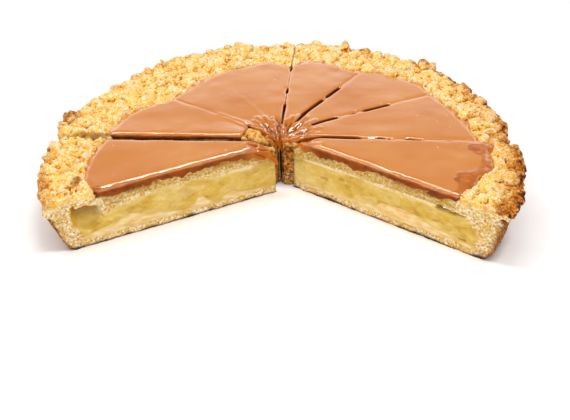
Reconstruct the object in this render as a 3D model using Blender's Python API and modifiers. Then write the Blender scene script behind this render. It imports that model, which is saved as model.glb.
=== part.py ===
"""Caramel apple crumble pie: eight portions of twelve, still standing together.

Every layer is turned about the pie's axis, given its uneven surface, and cut by the knife into slices, so
the crust, the custard, the apple, the crumble and the caramel each run right through every slice.
Heights are from the surface that the pie stands on; azimuths are in degrees from +X towards +Y.
"""

import math
import random

import bmesh
import bpy
from mathutils import Euler, Vector, noise

MM = 0.001

# Where the pie's axis stands, so that the part's origin is the middle of its footprint.
AXIS_X = -0.3 * MM
AXIS_Y = -25.4 * MM

# The knife: its cuts round the pie, the width that each leaves, and how far a slice was pulled out of line.
KNIFE_CUTS = (204.2, 175.4, 143.9, 114.0, 84.0, 54.0, 24.0, -6.6, -36.8)
KNIFE_WIDTH = 1.1 * MM
CLOSED_CUT_WIDTH = 0.4 * MM
CLOSED_CUTS = (114.0,)
# Two cuts bend near the middle: how far aside they lie, and at which radius.
KNIFE_BENDS = {54.0: 2.4 * MM, 24.0: 3.2 * MM}
BEND_RADIUS = 32.0 * MM
SLICE_SHIFTS = {1: (-0.3 * MM, -6.3 * MM), 8: (5.8 * MM, -1.3 * MM)}

# The gap between two layers, the number of steps in a full turn, and how far the cutters reach.
LAYER_GAP = 0.3 * MM
TURN_STEPS = 48
CARAMEL_STEPS = 80
TOOL_RADIUS = 190.0 * MM
TOOL_FLOOR = -10.0 * MM
TOOL_ROOF = 60.0 * MM

# Noise for the surfaces: what brings it near -1 to 1, and how far apart two layers read it.
NOISE_GAIN = 1.6
NOISE_STEP = 7.3

# The shortcrust shell: radius and height down its outer side, and from the middle up its inner side.
# The whole pie is a little out of round, and the wall's outer side is uneven on top of that.
WALL_TOP = 29.0 * MM
CRUST_OUTSIDE = (
    (128.0, 29.0),
    (135.0, 28.0),
    (136.4, 25.5),
    (134.6, 20.5),
    (132.2, 13.0),
    (130.0, 6.0),
    (127.6, 1.4),
    (124.0, 0.0),
)
CRUST_INSIDE = (
    (0.0, 4.2),
    (60.0, 4.6),
    (108.0, 4.8),
    (116.5, 6.2),
    (119.6, 11.0),
    (120.6, 14.0),
    (120.6, 28.6),
)
CRUST_UNEVEN = 0.006
CRUST_UNEVEN_SCALE = 9.0 * MM
OUT_OF_ROUND = 0.006

# The fillings share the radii at which their surfaces bend.
FILLING_RADIUS = 120.2 * MM
CUSTARD_FLOOR = 5.2 * MM
CUSTARD_LEAST = 1.5 * MM
CUSTARD_RADII = (0.0, 22.0, 32.0, 41.0, 50.0, 57.0, 68.0, 82.0, 98.0, 110.0, 117.2)
CUSTARD_AT_LEFT_CUT = (6.2, 6.6, 10.0, 7.6, 12.2, 7.4, 8.6, 12.4, 13.2, 12.0, 9.0)
CUSTARD_AT_RIGHT_CUT = (8.0, 8.2, 8.8, 8.2, 8.0, 8.4, 12.0, 11.6, 8.6, 9.6, 8.4)
CUSTARD_WAVE = 2.2 * MM
CUSTARD_WAVE_SCALE = 24.0 * MM
CUSTARD_END = ((116.0, 0.45), (109.0, 0.0))
APPLE_RADII = (0.0, 16.0, 40.0, 66.0, 92.0, 112.0, 120.2)
APPLE_TOP = 23.8 * MM
APPLE_WAVE = 0.9 * MM
APPLE_WAVE_SCALE = 30.0 * MM
APPLE_END_SHARE = 0.42
APPLE_SINKING = 0.45

# The crumble: a bed under the caramel, sunk towards the middle, and a high lumpy rim round it.
CRUMBLE_BED = 30.0 * MM
BED_WAVE = 0.5 * MM
BED_WAVE_SCALE = 26.0 * MM
CORE_FLOOR = 22.0 * MM
# The width of the step from the apple up to the wall, in the crumble's underside.
STEP_WIDTH = 0.05 * MM
RIM_RADIUS = 136.6 * MM
RIM_PROFILE = ((0.0, 32.6), (90.0, 32.6), (112.0, 33.0), (126.0, 33.2), (132.0, 32.0), (136.6, 30.6))
# How far the rim and the top of the wall reach at each azimuth, as shares of their radii.
RIM_OUTLINE = (
    (-40.0, 0.982),
    (-24.0, 0.973),
    (-16.0, 0.962),
    (-9.0, 0.946),
    (-5.0, 0.970),
    (0.0, 0.975),
    (16.0, 0.970),
    (24.0, 0.975),
    (32.0, 0.990),
    (41.0, 1.000),
    (52.0, 0.965),
    (60.0, 0.970),
    (68.0, 1.000),
    (76.0, 0.990),
    (84.0, 0.970),
    (97.0, 0.955),
    (104.0, 0.985),
    (124.0, 0.985),
    (132.0, 0.970),
    (142.0, 0.955),
    (151.0, 0.946),
    (160.0, 0.955),
    (166.0, 0.970),
    (175.0, 0.964),
    (181.0, 0.990),
    (210.0, 0.988),
)
RIM_WAVE = 0.9 * MM
RIM_WAVE_SCALE = 16.0 * MM
CRATER_RADIUS = 18.0 * MM
CRATER_DEPTH = 5.0 * MM
CRATER_DEPTH_AT_LEFT_CUT = 8.5 * MM

# The lumps of crumble, largest first: how many in a full turn, and their radius.
LUMP_SIZES = ((50, 6.0 * MM), (100, 4.7 * MM), (170, 3.5 * MM))
LUMP_SEED = 7
LUMP_UNEVEN = 0.2
LUMP_SUNK = (0.1, 0.35)
LUMP_OUTER_RADIUS = 134.5 * MM
LUMP_CLOSENESS = 0.66
MOST_TRIES = 6000
KEPT_FACES = 0.345
# Single clumps that stand out: azimuth, radius, height of the middle and size.
BIG_CLUMPS = (
    (167.0, 131.0, 31.4, 6.2),
    (158.5, 126.0, 32.0, 5.2),
    (201.0, 114.5, 34.4, 5.0),
    (190.0, 130.0, 31.0, 5.4),
    (130.5, 123.0, 31.8, 5.6),
    (112.0, 116.5, 32.4, 5.0),
    (103.5, 121.5, 32.0, 5.4),
    (68.5, 128.0, 31.6, 5.4),
    (49.8, 127.0, 31.6, 5.2),
    (41.0, 132.0, 32.6, 6.2),
    (24.5, 130.0, 31.4, 5.2),
    (1.0, 128.0, 31.8, 5.2),
    (-16.0, 128.0, 31.6, 5.4),
    (-33.0, 124.0, 32.0, 5.4),
)

# The caramel: its uneven edge as azimuth and radius, its top, and the roundness of its edges.
CARAMEL_TOP = 35.2 * MM
CARAMEL_LIP = 1.5 * MM
CARAMEL_CLEARANCE = 0.4 * MM
CARAMEL_EDGE_RADIUS = 100.0 * MM
CARAMEL_EDGE = (
    (-40.0, 106.0),
    (-34.0, 108.0),
    (-25.0, 111.5),
    (-17.0, 114.5),
    (-12.0, 112.5),
    (-7.0, 115.0),
    (0.0, 112.0),
    (8.0, 109.0),
    (16.0, 108.0),
    (23.0, 106.5),
    (32.0, 109.0),
    (41.0, 106.0),
    (50.0, 103.0),
    (54.0, 97.0),
    (62.0, 96.0),
    (68.0, 100.5),
    (75.0, 101.5),
    (80.0, 98.5),
    (84.0, 89.0),
    (90.0, 97.0),
    (95.0, 98.5),
    (102.0, 95.0),
    (112.0, 94.5),
    (125.0, 88.0),
    (137.0, 84.0),
    (145.0, 83.5),
    (149.0, 85.0),
    (156.0, 93.0),
    (162.0, 97.0),
    (174.5, 101.0),
    (185.0, 106.0),
    (197.0, 112.0),
    (204.0, 108.0),
    (210.0, 107.0),
)

# The hollow at the left cut, where the apple has drawn back from the crust: azimuth, radius and height.
HOLLOW_PLACE = (204.2, 114.5, 20.0)
HOLLOW_SIZE = (9.0 * MM, 5.5 * MM, 4.2 * MM)

COLOURS = {
    "crust": ((0.52, 0.26, 0.10, 1.0), 0.75),
    "custard": ((0.84, 0.62, 0.28, 1.0), 0.4),
    "apple": ((0.66, 0.50, 0.10, 1.0), 0.3),
    "crumble": ((0.86, 0.52, 0.16, 1.0), 0.8),
    "caramel": ((0.58, 0.23, 0.08, 1.0), 0.2),
}


def remove_old_objects():
    for obj in list(bpy.data.objects):
        bpy.data.objects.remove(obj, do_unlink=True)


def new_collection(name):
    collection = bpy.data.collections.new(name)
    bpy.context.scene.collection.children.link(collection)
    return collection


def new_object(name, mesh, collection):
    obj = bpy.data.objects.new(name, mesh)
    collection.objects.link(obj)
    return obj


def freeze(obj):
    """Applies the object's modifiers."""
    graph = bpy.context.evaluated_depsgraph_get()
    mesh = bpy.data.meshes.new_from_object(obj.evaluated_get(graph))
    obj.modifiers.clear()
    obj.data = mesh


def blend(low, high, share):
    """low where share is 0 and high where it is 1, with a soft start and end."""
    share = min(1.0, max(0.0, share))
    return low + (high - low) * share * share * (3.0 - 2.0 * share)


def along(points, place):
    """The height at a place along (place, height) pairs, straight between them."""
    before = points[0]
    for after in points[1:]:
        if place <= after[0]:
            share = (place - before[0]) / (after[0] - before[0])
            return before[1] + (after[1] - before[1]) * max(0.0, share)
        before = after
    return before[1]


def swell(x, y, scale, layer):
    """Smooth unevenness between about -1 and 1, different for each layer."""
    return NOISE_GAIN * noise.noise(Vector((x / scale, y / scale, NOISE_STEP * layer)))


def azimuth_of(x, y):
    """Degrees, between -126 and 234, so that the eight slices run on without a jump."""
    return (math.degrees(math.atan2(y, x)) + 126.0) % 360.0 - 126.0


def out_of_round(azimuth):
    """The share by which the whole pie is wider at this azimuth."""
    turn = math.radians(azimuth)
    return 1.0 + OUT_OF_ROUND * noise.noise(Vector((2.2 * math.cos(turn), 2.2 * math.sin(turn), 3.0)))


def rim_reach(azimuth):
    return along(RIM_OUTLINE, azimuth)


def left_share(azimuth):
    """0 at the right cut face and 1 at the left one."""
    right, left = KNIFE_CUTS[-1], KNIFE_CUTS[0]
    return (azimuth - right) / (left - right)


def crater(radius, azimuth):
    """How far the crumble and the caramel have sunk at this place near the middle."""
    depth = blend(CRATER_DEPTH, CRATER_DEPTH_AT_LEFT_CUT, left_share(azimuth) * 4.0 - 3.0)
    return depth * max(0.0, 1.0 - radius / CRATER_RADIUS)


def custard_floor(x, y):
    """Just above the base, and up its curve to the wall."""
    radius = math.hypot(x, y)
    return blend(CUSTARD_FLOOR, CUSTARD_FLOOR + 1.6 * MM, (radius - 106.0 * MM) / (10.0 * MM))


def custard_top(x, y):
    radius, azimuth = math.hypot(x, y), azimuth_of(x, y)
    left = along(list(zip(CUSTARD_RADII, CUSTARD_AT_LEFT_CUT)), radius / MM)
    right = along(list(zip(CUSTARD_RADII, CUSTARD_AT_RIGHT_CUT)), radius / MM)
    share = left_share(azimuth)
    fading = math.sin(math.pi * min(1.0, max(0.0, share)))
    wave = CUSTARD_WAVE * swell(x, y, CUSTARD_WAVE_SCALE, 1) * fading
    return max(custard_floor(x, y) + CUSTARD_LEAST, blend(right, left, share) * MM + wave)


def apple_top(x, y):
    radius, azimuth = math.hypot(x, y), azimuth_of(x, y)
    sunk = APPLE_SINKING * crater(radius, azimuth)
    return APPLE_TOP + APPLE_WAVE * swell(x, y, APPLE_WAVE_SCALE, 2) - sunk


def crumble_bed(x, y):
    radius, azimuth = math.hypot(x, y), azimuth_of(x, y)
    return CRUMBLE_BED + BED_WAVE * swell(x, y, BED_WAVE_SCALE, 3) - crater(radius, azimuth)


def caramel_top(x, y):
    radius, azimuth = math.hypot(x, y), azimuth_of(x, y)
    return CARAMEL_TOP - crater(radius, azimuth)


def rim_top(x, y):
    height = along(RIM_PROFILE, math.hypot(x, y) / MM) * MM
    return height + RIM_WAVE * swell(x, y, RIM_WAVE_SCALE, 4)


def caramel_edge(azimuth):
    return along(CARAMEL_EDGE, azimuth) * MM


def turned(name, profile, collection, steps=TURN_STEPS):
    """A profile of (radius, height) pairs, from the axis out, down and back to the axis, turned about Z."""
    mesh = bpy.data.meshes.new(name)
    points = [(radius, 0.0, height) for radius, height in profile]
    mesh.from_pydata(points, [(i, i + 1) for i in range(len(points) - 1)], [])
    obj = new_object(name, mesh, collection)
    turn = obj.modifiers.new("Turn", "SCREW")
    turn.angle = 2.0 * math.pi
    turn.steps = steps
    turn.render_steps = steps
    turn.use_merge_vertices = True
    turn.merge_threshold = 0.00001
    freeze(obj)
    return obj


def settled_layer(name, profile, floor, top, collection, steps=TURN_STEPS, edge=None):
    """A turned layer whose profile heights are shares, 0 on the floor surface and 1 on the top surface.

    Edge gives the outline for an azimuth, and the profile's radii are multiplied by it: it is a length where
    the profile holds shares, and a share where it holds real radii.
    """
    obj = turned(name, profile, collection, steps)
    for vertex in obj.data.vertices:
        x, y, share = vertex.co
        azimuth = azimuth_of(x, y)
        reach = edge(azimuth) if edge else out_of_round(azimuth)
        x, y = x * reach, y * reach
        low, high = floor(x, y), top(x, y)
        vertex.co = (x, y, low + (high - low) * share)
    split_alike(obj)
    return obj


def split_alike(obj):
    """Splits the faces along their shorter diagonals, so that two layers bend alike where they meet."""
    shape = bmesh.new()
    shape.from_mesh(obj.data)
    bmesh.ops.triangulate(shape, faces=shape.faces, quad_method="SHORT_EDGE")
    shape.to_mesh(obj.data)
    shape.free()


def cut(obj, tool, operation="DIFFERENCE", solver="EXACT"):
    """One Boolean with a tool object, applied."""
    step = obj.modifiers.new("Cut", "BOOLEAN")
    step.operation = operation
    step.solver = solver
    step.object = tool
    freeze(obj)


def as_tool(obj):
    obj.hide_render = True
    obj.display_type = "WIRE"
    return obj


def level(height):
    """A surface at one height, in the form that settled_layer takes."""
    return lambda x, y: height


def raised(surface):
    """A surface one layer gap above another."""
    return lambda x, y: surface(x, y) + LAYER_GAP


def object_of(shape, name, collection):
    """The bmesh as a new object."""
    mesh = bpy.data.meshes.new(name)
    shape.to_mesh(mesh)
    shape.free()
    return new_object(name, mesh, collection)


def make_crust(collection):
    """The shell in one piece: a flat base and a wall that leans out to the rim, a little uneven outside."""
    profile = [(r * MM, z * MM) for r, z in CRUST_INSIDE + CRUST_OUTSIDE]
    obj = turned("crust", profile + [(0.0, 0.0)], collection)
    outer_radius = CRUST_OUTSIDE[-1][0] * MM
    for vertex in obj.data.vertices:
        x, y, z = vertex.co
        reach = out_of_round(azimuth_of(x, y))
        if math.hypot(x, y) > outer_radius + 0.1 * MM:
            reach += CRUST_UNEVEN * noise.noise(Vector((x, y, z)) / CRUST_UNEVEN_SCALE)
            reach *= blend(1.0, rim_reach(azimuth_of(x, y)), z / WALL_TOP)
        vertex.co = (x * reach, y * reach, z)
    split_alike(obj)
    return obj


def make_custard(collection):
    top = [(r * MM, 1.0) for r in CUSTARD_RADII]
    end = [(r * MM, share) for r, share in CUSTARD_END]
    profile = top + end + [(0.0, 0.0)]
    return settled_layer("custard", profile, custard_floor, custard_top, collection)


def make_apple(collection):
    """From the custard's surface up, with every bend of that surface repeated a gap higher."""
    top = [(r * MM, 1.0) for r in APPLE_RADII]
    end = [(FILLING_RADIUS, APPLE_END_SHARE), (CUSTARD_RADII[-1] * MM, 0.0)]
    under = [(r * MM, 0.0) for r in reversed(CUSTARD_RADII[:-1])]
    return settled_layer("apple", top + end + under, raised(custard_top), apple_top, collection)


def make_lump(place, size, subdivisions, rng, collection):
    """One uneven lump of crumble."""
    shape = bmesh.new()
    bmesh.ops.create_icosphere(shape, subdivisions=subdivisions, radius=size)
    squash = Vector((rng.uniform(0.85, 1.2), rng.uniform(0.85, 1.2), rng.uniform(0.75, 1.0)))
    spin = Euler([rng.uniform(0.0, math.tau) for _ in range(3)]).to_matrix()
    for vertex in shape.verts:
        vertex.co = spin @ (vertex.co * rng.uniform(1.0 - LUMP_UNEVEN, 1.0 + LUMP_UNEVEN) * squash)
        vertex.co += place
    return object_of(shape, "lump", collection)


def polar(azimuth, radius, height):
    turn = math.radians(azimuth)
    return Vector((radius * math.cos(turn), radius * math.sin(turn), height))


def scatter_lumps(collection):
    """The big clumps, then ever smaller lumps where there is room, over the rim outside the caramel."""
    rng = random.Random(LUMP_SEED)
    placed = []
    for azimuth, radius, height, size in BIG_CLUMPS:
        place = polar(azimuth, radius * MM, height * MM)
        make_lump(place, size * MM, 2, rng, collection)
        placed.append((place, size * MM))
    first, last = KNIFE_CUTS[-1] - 3.0, KNIFE_CUTS[0] + 3.0
    for count, typical in LUMP_SIZES:
        wanted = int(count * (last - first) / 360.0)
        tries = 0
        while wanted > 0 and tries < MOST_TRIES:
            tries += 1
            azimuth = rng.uniform(first, last)
            size = typical * rng.uniform(0.85, 1.15)
            inner = caramel_edge(azimuth) + 0.5 * size
            radius = math.sqrt(rng.uniform(inner**2, LUMP_OUTER_RADIUS**2))
            place = polar(azimuth, radius * rim_reach(azimuth), 0.0)
            place.z = rim_top(place.x, place.y) - rng.uniform(*LUMP_SUNK) * size
            if any((place - other).length < LUMP_CLOSENESS * (size + reach) for other, reach in placed):
                continue
            make_lump(place, size, 1, rng, collection)
            placed.append((place, size))
            wanted -= 1


def make_crumble(collection, tools):
    """The core and its lumps in one piece, trimmed to the apple and the wall below and to the caramel."""
    profile = [(radius * MM, 1.0) for radius, _ in RIM_PROFILE] + [(RIM_RADIUS, 0.0), (0.0, 0.0)]
    core = settled_layer("crumble", profile, level(CORE_FLOOR), rim_top, collection, edge=rim_reach)
    lumps = new_collection("lumps")
    scatter_lumps(lumps)
    join = core.modifiers.new("Join", "BOOLEAN")
    join.operation = "UNION"
    join.solver = "MANIFOLD"
    join.operand_type = "COLLECTION"
    join.collection = lumps
    thin = core.modifiers.new("Thin", "DECIMATE")
    thin.ratio = KEPT_FACES
    freeze(core)
    for lump in list(lumps.objects):
        bpy.data.objects.remove(lump, do_unlink=True)
    bpy.data.collections.remove(lumps)

    cut(core, make_underside_tool(tools), solver="MANIFOLD")
    cut(core, make_bed_tool(tools), solver="MANIFOLD")
    return core


def make_underside_tool(tools):
    """Everything below the crumble: up to the apple, and outside it up to the wall's top."""
    rows = [(r * MM, 1.0) for r in APPLE_RADII[:-1]]
    step = [(FILLING_RADIUS - STEP_WIDTH, 1.0), (FILLING_RADIUS, 1.0)]
    profile = rows + step + [(TOOL_RADIUS, 1.0), (TOOL_RADIUS, 0.0), (0.0, 0.0)]
    return as_tool(settled_layer("underside", profile, level(TOOL_FLOOR), raised(crumble_floor), tools))


def make_bed_tool(tools):
    """The caramel's place in the crumble, with everything above it."""
    reach = 1.0 + CARAMEL_CLEARANCE / CARAMEL_EDGE_RADIUS
    rows = [(row, 0.0) for row in reversed(caramel_rows())]
    profile = [(0.0, 1.0), (reach, 1.0), (reach, 0.0)] + rows + [(0.0, 0.0)]
    bed = settled_layer("bed", profile, crumble_bed, level(TOOL_ROOF), tools, CARAMEL_STEPS, caramel_edge)
    return as_tool(bed)


def crumble_floor(x, y):
    """The surface that the crumble lies on: the apple, then the top of the wall."""
    on_wall = math.hypot(x, y) > (FILLING_RADIUS - STEP_WIDTH / 2.0) * out_of_round(azimuth_of(x, y))
    return WALL_TOP if on_wall else apple_top(x, y)


def caramel_rows():
    """Where the caramel's surfaces bend, as shares of its edge's radius."""
    return (0.09, CRATER_RADIUS / CARAMEL_EDGE_RADIUS, 0.6)


def make_caramel(collection):
    """A pool with a rounded edge, on the crumble's bed."""
    rows = caramel_rows()
    lip = CARAMEL_LIP / CARAMEL_EDGE_RADIUS
    top = [(0.0, 1.0)] + [(r, 1.0) for r in rows]
    edge = [(1.0 - lip, 1.0), (1.0 - 0.3 * lip, 0.85), (1.0, 0.5), (1.0 - 0.3 * lip, 0.15), (1.0 - lip, 0.0)]
    under = [(r, 0.0) for r in reversed(rows)] + [(0.0, 0.0)]
    profile = top + edge + under
    floor = raised(crumble_bed)
    return settled_layer("caramel", profile, floor, caramel_top, collection, CARAMEL_STEPS, caramel_edge)


def knife_side(azimuth, sign):
    """One side of a slice, half a knife in: its azimuth at the tip, that offset, its bend and its far end."""
    width = CLOSED_CUT_WIDTH if azimuth in CLOSED_CUTS else KNIFE_WIDTH
    aside = polar(azimuth + 90.0 * sign, width / 2.0, 0.0)
    bend = polar(azimuth, BEND_RADIUS, 0.0) + polar(azimuth + 90.0, KNIFE_BENDS.get(azimuth, 0.0), 0.0)
    first = azimuth_of(bend.x, bend.y)
    return first, width / 2.0, bend + aside, polar(azimuth, TOOL_RADIUS, 0.0) + aside


def make_wedge(name, number, tools, lip=0.0):
    """The space between two knife cuts, numbered from the left cut; lip rounds its upper edges."""
    left, left_offset, left_bend, left_end = knife_side(KNIFE_CUTS[number - 1], -1.0)
    right, right_offset, right_bend, right_end = knife_side(KNIFE_CUTS[number], 1.0)
    tip_radius = max(left_offset, right_offset) / math.sin(math.radians(left - right) / 2.0)
    tip = polar((left + right) / 2.0, tip_radius, 0.0)
    shape = bmesh.new()
    floor = Vector((0.0, 0.0, TOOL_FLOOR))
    corners = (tip, right_bend, right_end, left_end, left_bend)
    face = shape.faces.new([shape.verts.new(corner + floor) for corner in corners])
    grown = bmesh.ops.extrude_face_region(shape, geom=[face])["geom"]
    upper = [part for part in grown if isinstance(part, bmesh.types.BMVert)]
    height = (CARAMEL_TOP if lip else TOOL_ROOF) - TOOL_FLOOR
    bmesh.ops.translate(shape, verts=upper, vec=(0.0, 0.0, height))
    bmesh.ops.recalc_face_normals(shape, faces=shape.faces)
    if lip:
        near = {vertex for vertex in upper if vertex.co.xy.length < TOOL_RADIUS / 2.0}
        edges = [edge for edge in shape.edges if set(edge.verts) <= set(upper) and set(edge.verts) & near]
        bmesh.ops.bevel(shape, geom=edges, offset=lip, segments=2, affect="EDGES", profile=0.5)
    return as_tool(object_of(shape, name, tools))


def drop_scraps(obj):
    """Keeps the largest of the loose pieces that a cut can leave."""
    shape = bmesh.new()
    shape.from_mesh(obj.data)
    left = set(shape.verts)
    islands = []
    while left:
        island = [left.pop()]
        for vertex in island:
            for edge in vertex.link_edges:
                other = edge.other_vert(vertex)
                if other in left:
                    left.remove(other)
                    island.append(other)
        islands.append(island)
    islands.sort(key=len)
    scraps = [vertex for island in islands[:-1] for vertex in island]
    bmesh.ops.delete(shape, geom=scraps, context="VERTS")
    shape.to_mesh(obj.data)
    shape.free()


def make_material(kind):
    colour, roughness = COLOURS[kind]
    material = bpy.data.materials.new(kind)
    material.use_nodes = True
    finish = material.node_tree.nodes["Principled BSDF"]
    finish.inputs["Base Color"].default_value = colour
    finish.inputs["Roughness"].default_value = roughness
    finish.inputs["Metallic"].default_value = 0.0
    return material


def slice_layer(layer, kind, number, wedge, collection, axis):
    """The part of a whole layer inside one slice's wedge."""
    obj = new_object(f"slice_{number}_{kind}", layer.data.copy(), collection)
    cut(obj, wedge, "INTERSECT", "MANIFOLD" if kind == "crumble" else "EXACT")
    drop_scraps(obj)
    shift = SLICE_SHIFTS.get(number, (0.0, 0.0))
    obj.parent = axis
    obj.location = (shift[0], shift[1], 0.0)
    return obj


def carve_hollow(apple, tools):
    """The hollow in the apple beside the crust, open at the left cut."""
    azimuth, radius, height = HOLLOW_PLACE
    shape = bmesh.new()
    bmesh.ops.create_icosphere(shape, subdivisions=2, radius=1.0)
    bmesh.ops.scale(shape, vec=HOLLOW_SIZE, verts=shape.verts)
    hollow = as_tool(object_of(shape, "hollow", tools))
    hollow.location = polar(azimuth, radius * MM, height * MM)
    hollow.rotation_euler.z = math.radians(azimuth)
    bpy.context.view_layer.update()
    cut(apple, hollow)


def main():
    remove_old_objects()
    pie = new_collection("apple_crumble_pie")
    tools = new_collection("cutters")
    axis = new_object("pie_axis", None, pie)

    layers = {
        "crust": make_crust(tools),
        "custard": make_custard(tools),
        "apple": make_apple(tools),
        "crumble": make_crumble(tools, tools),
        "caramel": make_caramel(tools),
    }
    carve_hollow(layers["apple"], tools)
    materials = {kind: make_material(kind) for kind in layers}

    for number in range(1, len(KNIFE_CUTS)):
        wedge = make_wedge(f"wedge_{number}", number, tools)
        rounded = make_wedge(f"rounded_wedge_{number}", number, tools, CARAMEL_LIP)
        for kind, layer in layers.items():
            tool = rounded if kind == "caramel" else wedge
            piece = slice_layer(layer, kind, number, tool, pie, axis)
            piece.data.materials.clear()
            piece.data.materials.append(materials[kind])
    for layer in layers.values():
        as_tool(layer)
    axis.location = (AXIS_X, AXIS_Y, 0.0)


main()
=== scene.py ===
"""Looks of the caramel apple crumble pie: every layer of every slice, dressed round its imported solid.

Lengths are in millimetres from the pie's own axis while a layer is worked out, and in metres once it is placed.
"""

import itertools
import math

import bmesh
import bpy
import numpy as np
from mathutils import Matrix, Vector
from mathutils.bvhtree import BVHTree


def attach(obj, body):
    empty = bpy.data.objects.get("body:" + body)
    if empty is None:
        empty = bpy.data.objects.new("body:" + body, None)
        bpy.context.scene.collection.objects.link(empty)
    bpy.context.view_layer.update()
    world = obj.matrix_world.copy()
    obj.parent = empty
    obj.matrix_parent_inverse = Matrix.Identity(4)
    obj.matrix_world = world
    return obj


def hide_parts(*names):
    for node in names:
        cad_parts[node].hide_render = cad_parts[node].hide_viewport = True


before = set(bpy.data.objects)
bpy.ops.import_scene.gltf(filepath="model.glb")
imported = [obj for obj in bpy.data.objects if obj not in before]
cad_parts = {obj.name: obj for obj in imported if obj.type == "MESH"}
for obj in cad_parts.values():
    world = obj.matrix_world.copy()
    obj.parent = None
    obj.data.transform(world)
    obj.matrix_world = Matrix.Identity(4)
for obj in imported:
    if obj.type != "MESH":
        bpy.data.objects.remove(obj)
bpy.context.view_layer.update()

bl_info = {
    "name": "Caramel apple crumble pie",
    "version": (1, 0, 0),
    "blender": (4, 5, 0),
    "location": "View3D > Sidebar > Pie",
    "description": "Dresses the crust, custard, apple, crumble and caramel of a cut pie",
    "category": "Add Mesh",
}

MM = 0.001
PIE_AXIS = np.array((-0.3, -25.4, 0.0))

# The knife's cuts round the pie, as its solids have them.
KNIFE_CUTS = (204.2, 175.4, 143.9, 114.0, 84.0, 54.0, 24.0, -6.6, -36.8)
KNIFE_WIDTH = 1.1
CLOSED_CUT_WIDTH = 0.4
CLOSED_CUTS = (114.0,)
KNIFE_BENDS = {54.0: 2.4, 24.0: 3.2}
BEND_RADIUS = 32.0
FAR = 190.0
SLICE_SHIFTS = {1: (-0.3, -6.3), 8: (5.8, -1.3)}
PORTIONS = range(1, 9)
# The slices with an open cut face, which is the left one (1) or the right one (-1), and those with fine faces.
OPEN_SIDES = {1: 1.0, 8: -1.0}
FINE = (1, 2, 8)

BASE_END = 117.0
CUSTARD_END = 118.6
APPLE_END = 120.5
WALL_TOP = 29.4
RIM_START = 86.0
CARAMEL_TOP = 35.2
RIM_RADIUS = 136.6
# How far the rim reaches at each azimuth, as shares of its radius.
RIM_OUTLINE = (
    (-40, 0.990), (-30, 0.992), (-24, 0.980), (-16, 0.962), (-9, 0.946), (-5, 0.970), (0, 0.975), (10, 0.998),
    (16, 0.984), (24, 0.978), (32, 0.995), (38, 1.000), (46, 0.970), (53, 0.950), (60, 0.962), (68, 0.995),
    (76, 0.990), (84, 0.970), (97, 0.955), (104, 0.985), (124, 0.985), (132, 0.970), (142, 0.955), (151, 0.946),
    (160, 0.955), (166, 0.970), (175, 0.980), (181, 0.990), (210, 0.988),
)  # fmt: skip
# How far the caramel has run at each azimuth.
CARAMEL_EDGE = (
    (-40, 106), (-34, 108), (-25, 111.5), (-17, 114.5), (-12, 112.5), (-7, 115), (0, 112), (8, 109), (16, 108),
    (23, 106.5), (32, 109), (41, 106), (50, 103), (54, 97), (62, 96), (68, 100.5), (75, 101.5), (80, 98.5),
    (84, 89), (90, 97), (95, 98.5), (102, 95), (112, 94.5), (125, 88), (137, 84), (145, 83.5), (149, 85),
    (156, 93), (162, 97), (174.5, 101), (185, 106), (197, 112), (204, 108), (210, 107),
)  # fmt: skip
CRATER_RADIUS = 18.0
CRATER_DEPTH = 5.0
CRATER_DEPTH_AT_LEFT_CUT = 8.5


# ---------------------------------------------------------------- numbers


def hashed(cells, seed):
    """A repeatable number from 0 to 1 for each whole-numbered cell."""
    key = cells @ np.array((73856093, 19349663, 83492791)) + seed * 374761393
    key = (key ^ (key >> 13)) * 1274126177 & 0xFFFFFFFF
    key = (key ^ (key >> 16)) * 668265263 & 0xFFFFFFFF
    return ((key ^ (key >> 15)) & 0xFFFFFF) / float(0x1000000)


def soft_noise(points, grain, seed=0):
    """Smooth unevenness from -1 to 1; grain is its size in millimetres, one number or one for each axis."""
    spots = points / grain
    low = np.floor(spots).astype(np.int64)
    part = spots - low
    part = part * part * (3.0 - 2.0 * part)
    total = np.zeros(len(points))
    for corner in itertools.product((0, 1), repeat=3):
        weight = np.prod(np.where(np.array(corner), part, 1.0 - part), axis=-1)
        total += weight * hashed(low + np.array(corner), seed)
    return total * 2.0 - 1.0


def crumbs_of(points, grain, seed=0):
    """Distances to the nearest and second nearest of scattered spots, in grains, and the nearest one's number."""
    spots = points / grain
    home = np.floor(spots).astype(np.int64)
    first = np.full(len(points), 9.0)
    second = np.full(len(points), 9.0)
    own = np.zeros(len(points))
    for step in itertools.product((-1, 0, 1), repeat=3):
        cell = home + np.array(step)
        spot = cell + stacked(*(hashed(cell, seed + axis) for axis in (11, 12, 13)))
        distance = np.linalg.norm(spots - spot, axis=-1)
        nearer = distance < first
        second = np.where(nearer, first, np.minimum(second, distance))
        own = np.where(nearer, hashed(cell, seed + 14), own)
        first = np.where(nearer, distance, first)
    return first, second, own


def ease(low, high, value):
    """0 at low and 1 at high, with a soft start and end; low may be the larger."""
    share = np.clip((value - low) / (high - low), 0.0, 1.0)
    return share * share * (3.0 - 2.0 * share)


def stacked(*parts):
    """These parts side by side as the columns of one array, each one number or one for every row."""
    return np.stack(np.broadcast_arrays(*parts), axis=-1)


def polar(azimuth, radius, height=0.0):
    turn = np.radians(azimuth)
    radius = np.asarray(radius, float)
    return stacked(radius * np.cos(turn), radius * np.sin(turn), height)


def azimuth_of(points):
    """Degrees, between -126 and 234, so that the eight slices run on without a jump."""
    return (np.degrees(np.arctan2(points[..., 1], points[..., 0])) + 126.0) % 360.0 - 126.0


def radius_of(points):
    return np.hypot(points[..., 0], points[..., 1])


def anticlockwise(points):
    """The level way round the pie at each point, as seen from above."""
    return polar(azimuth_of(points) + 90.0, 1.0)


def level_distance(points, azimuth, radius):
    """How far each point is, as seen from above, from the place at this azimuth and radius."""
    return np.linalg.norm(points[:, :2] - polar(azimuth, radius)[:2], axis=-1)


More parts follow.
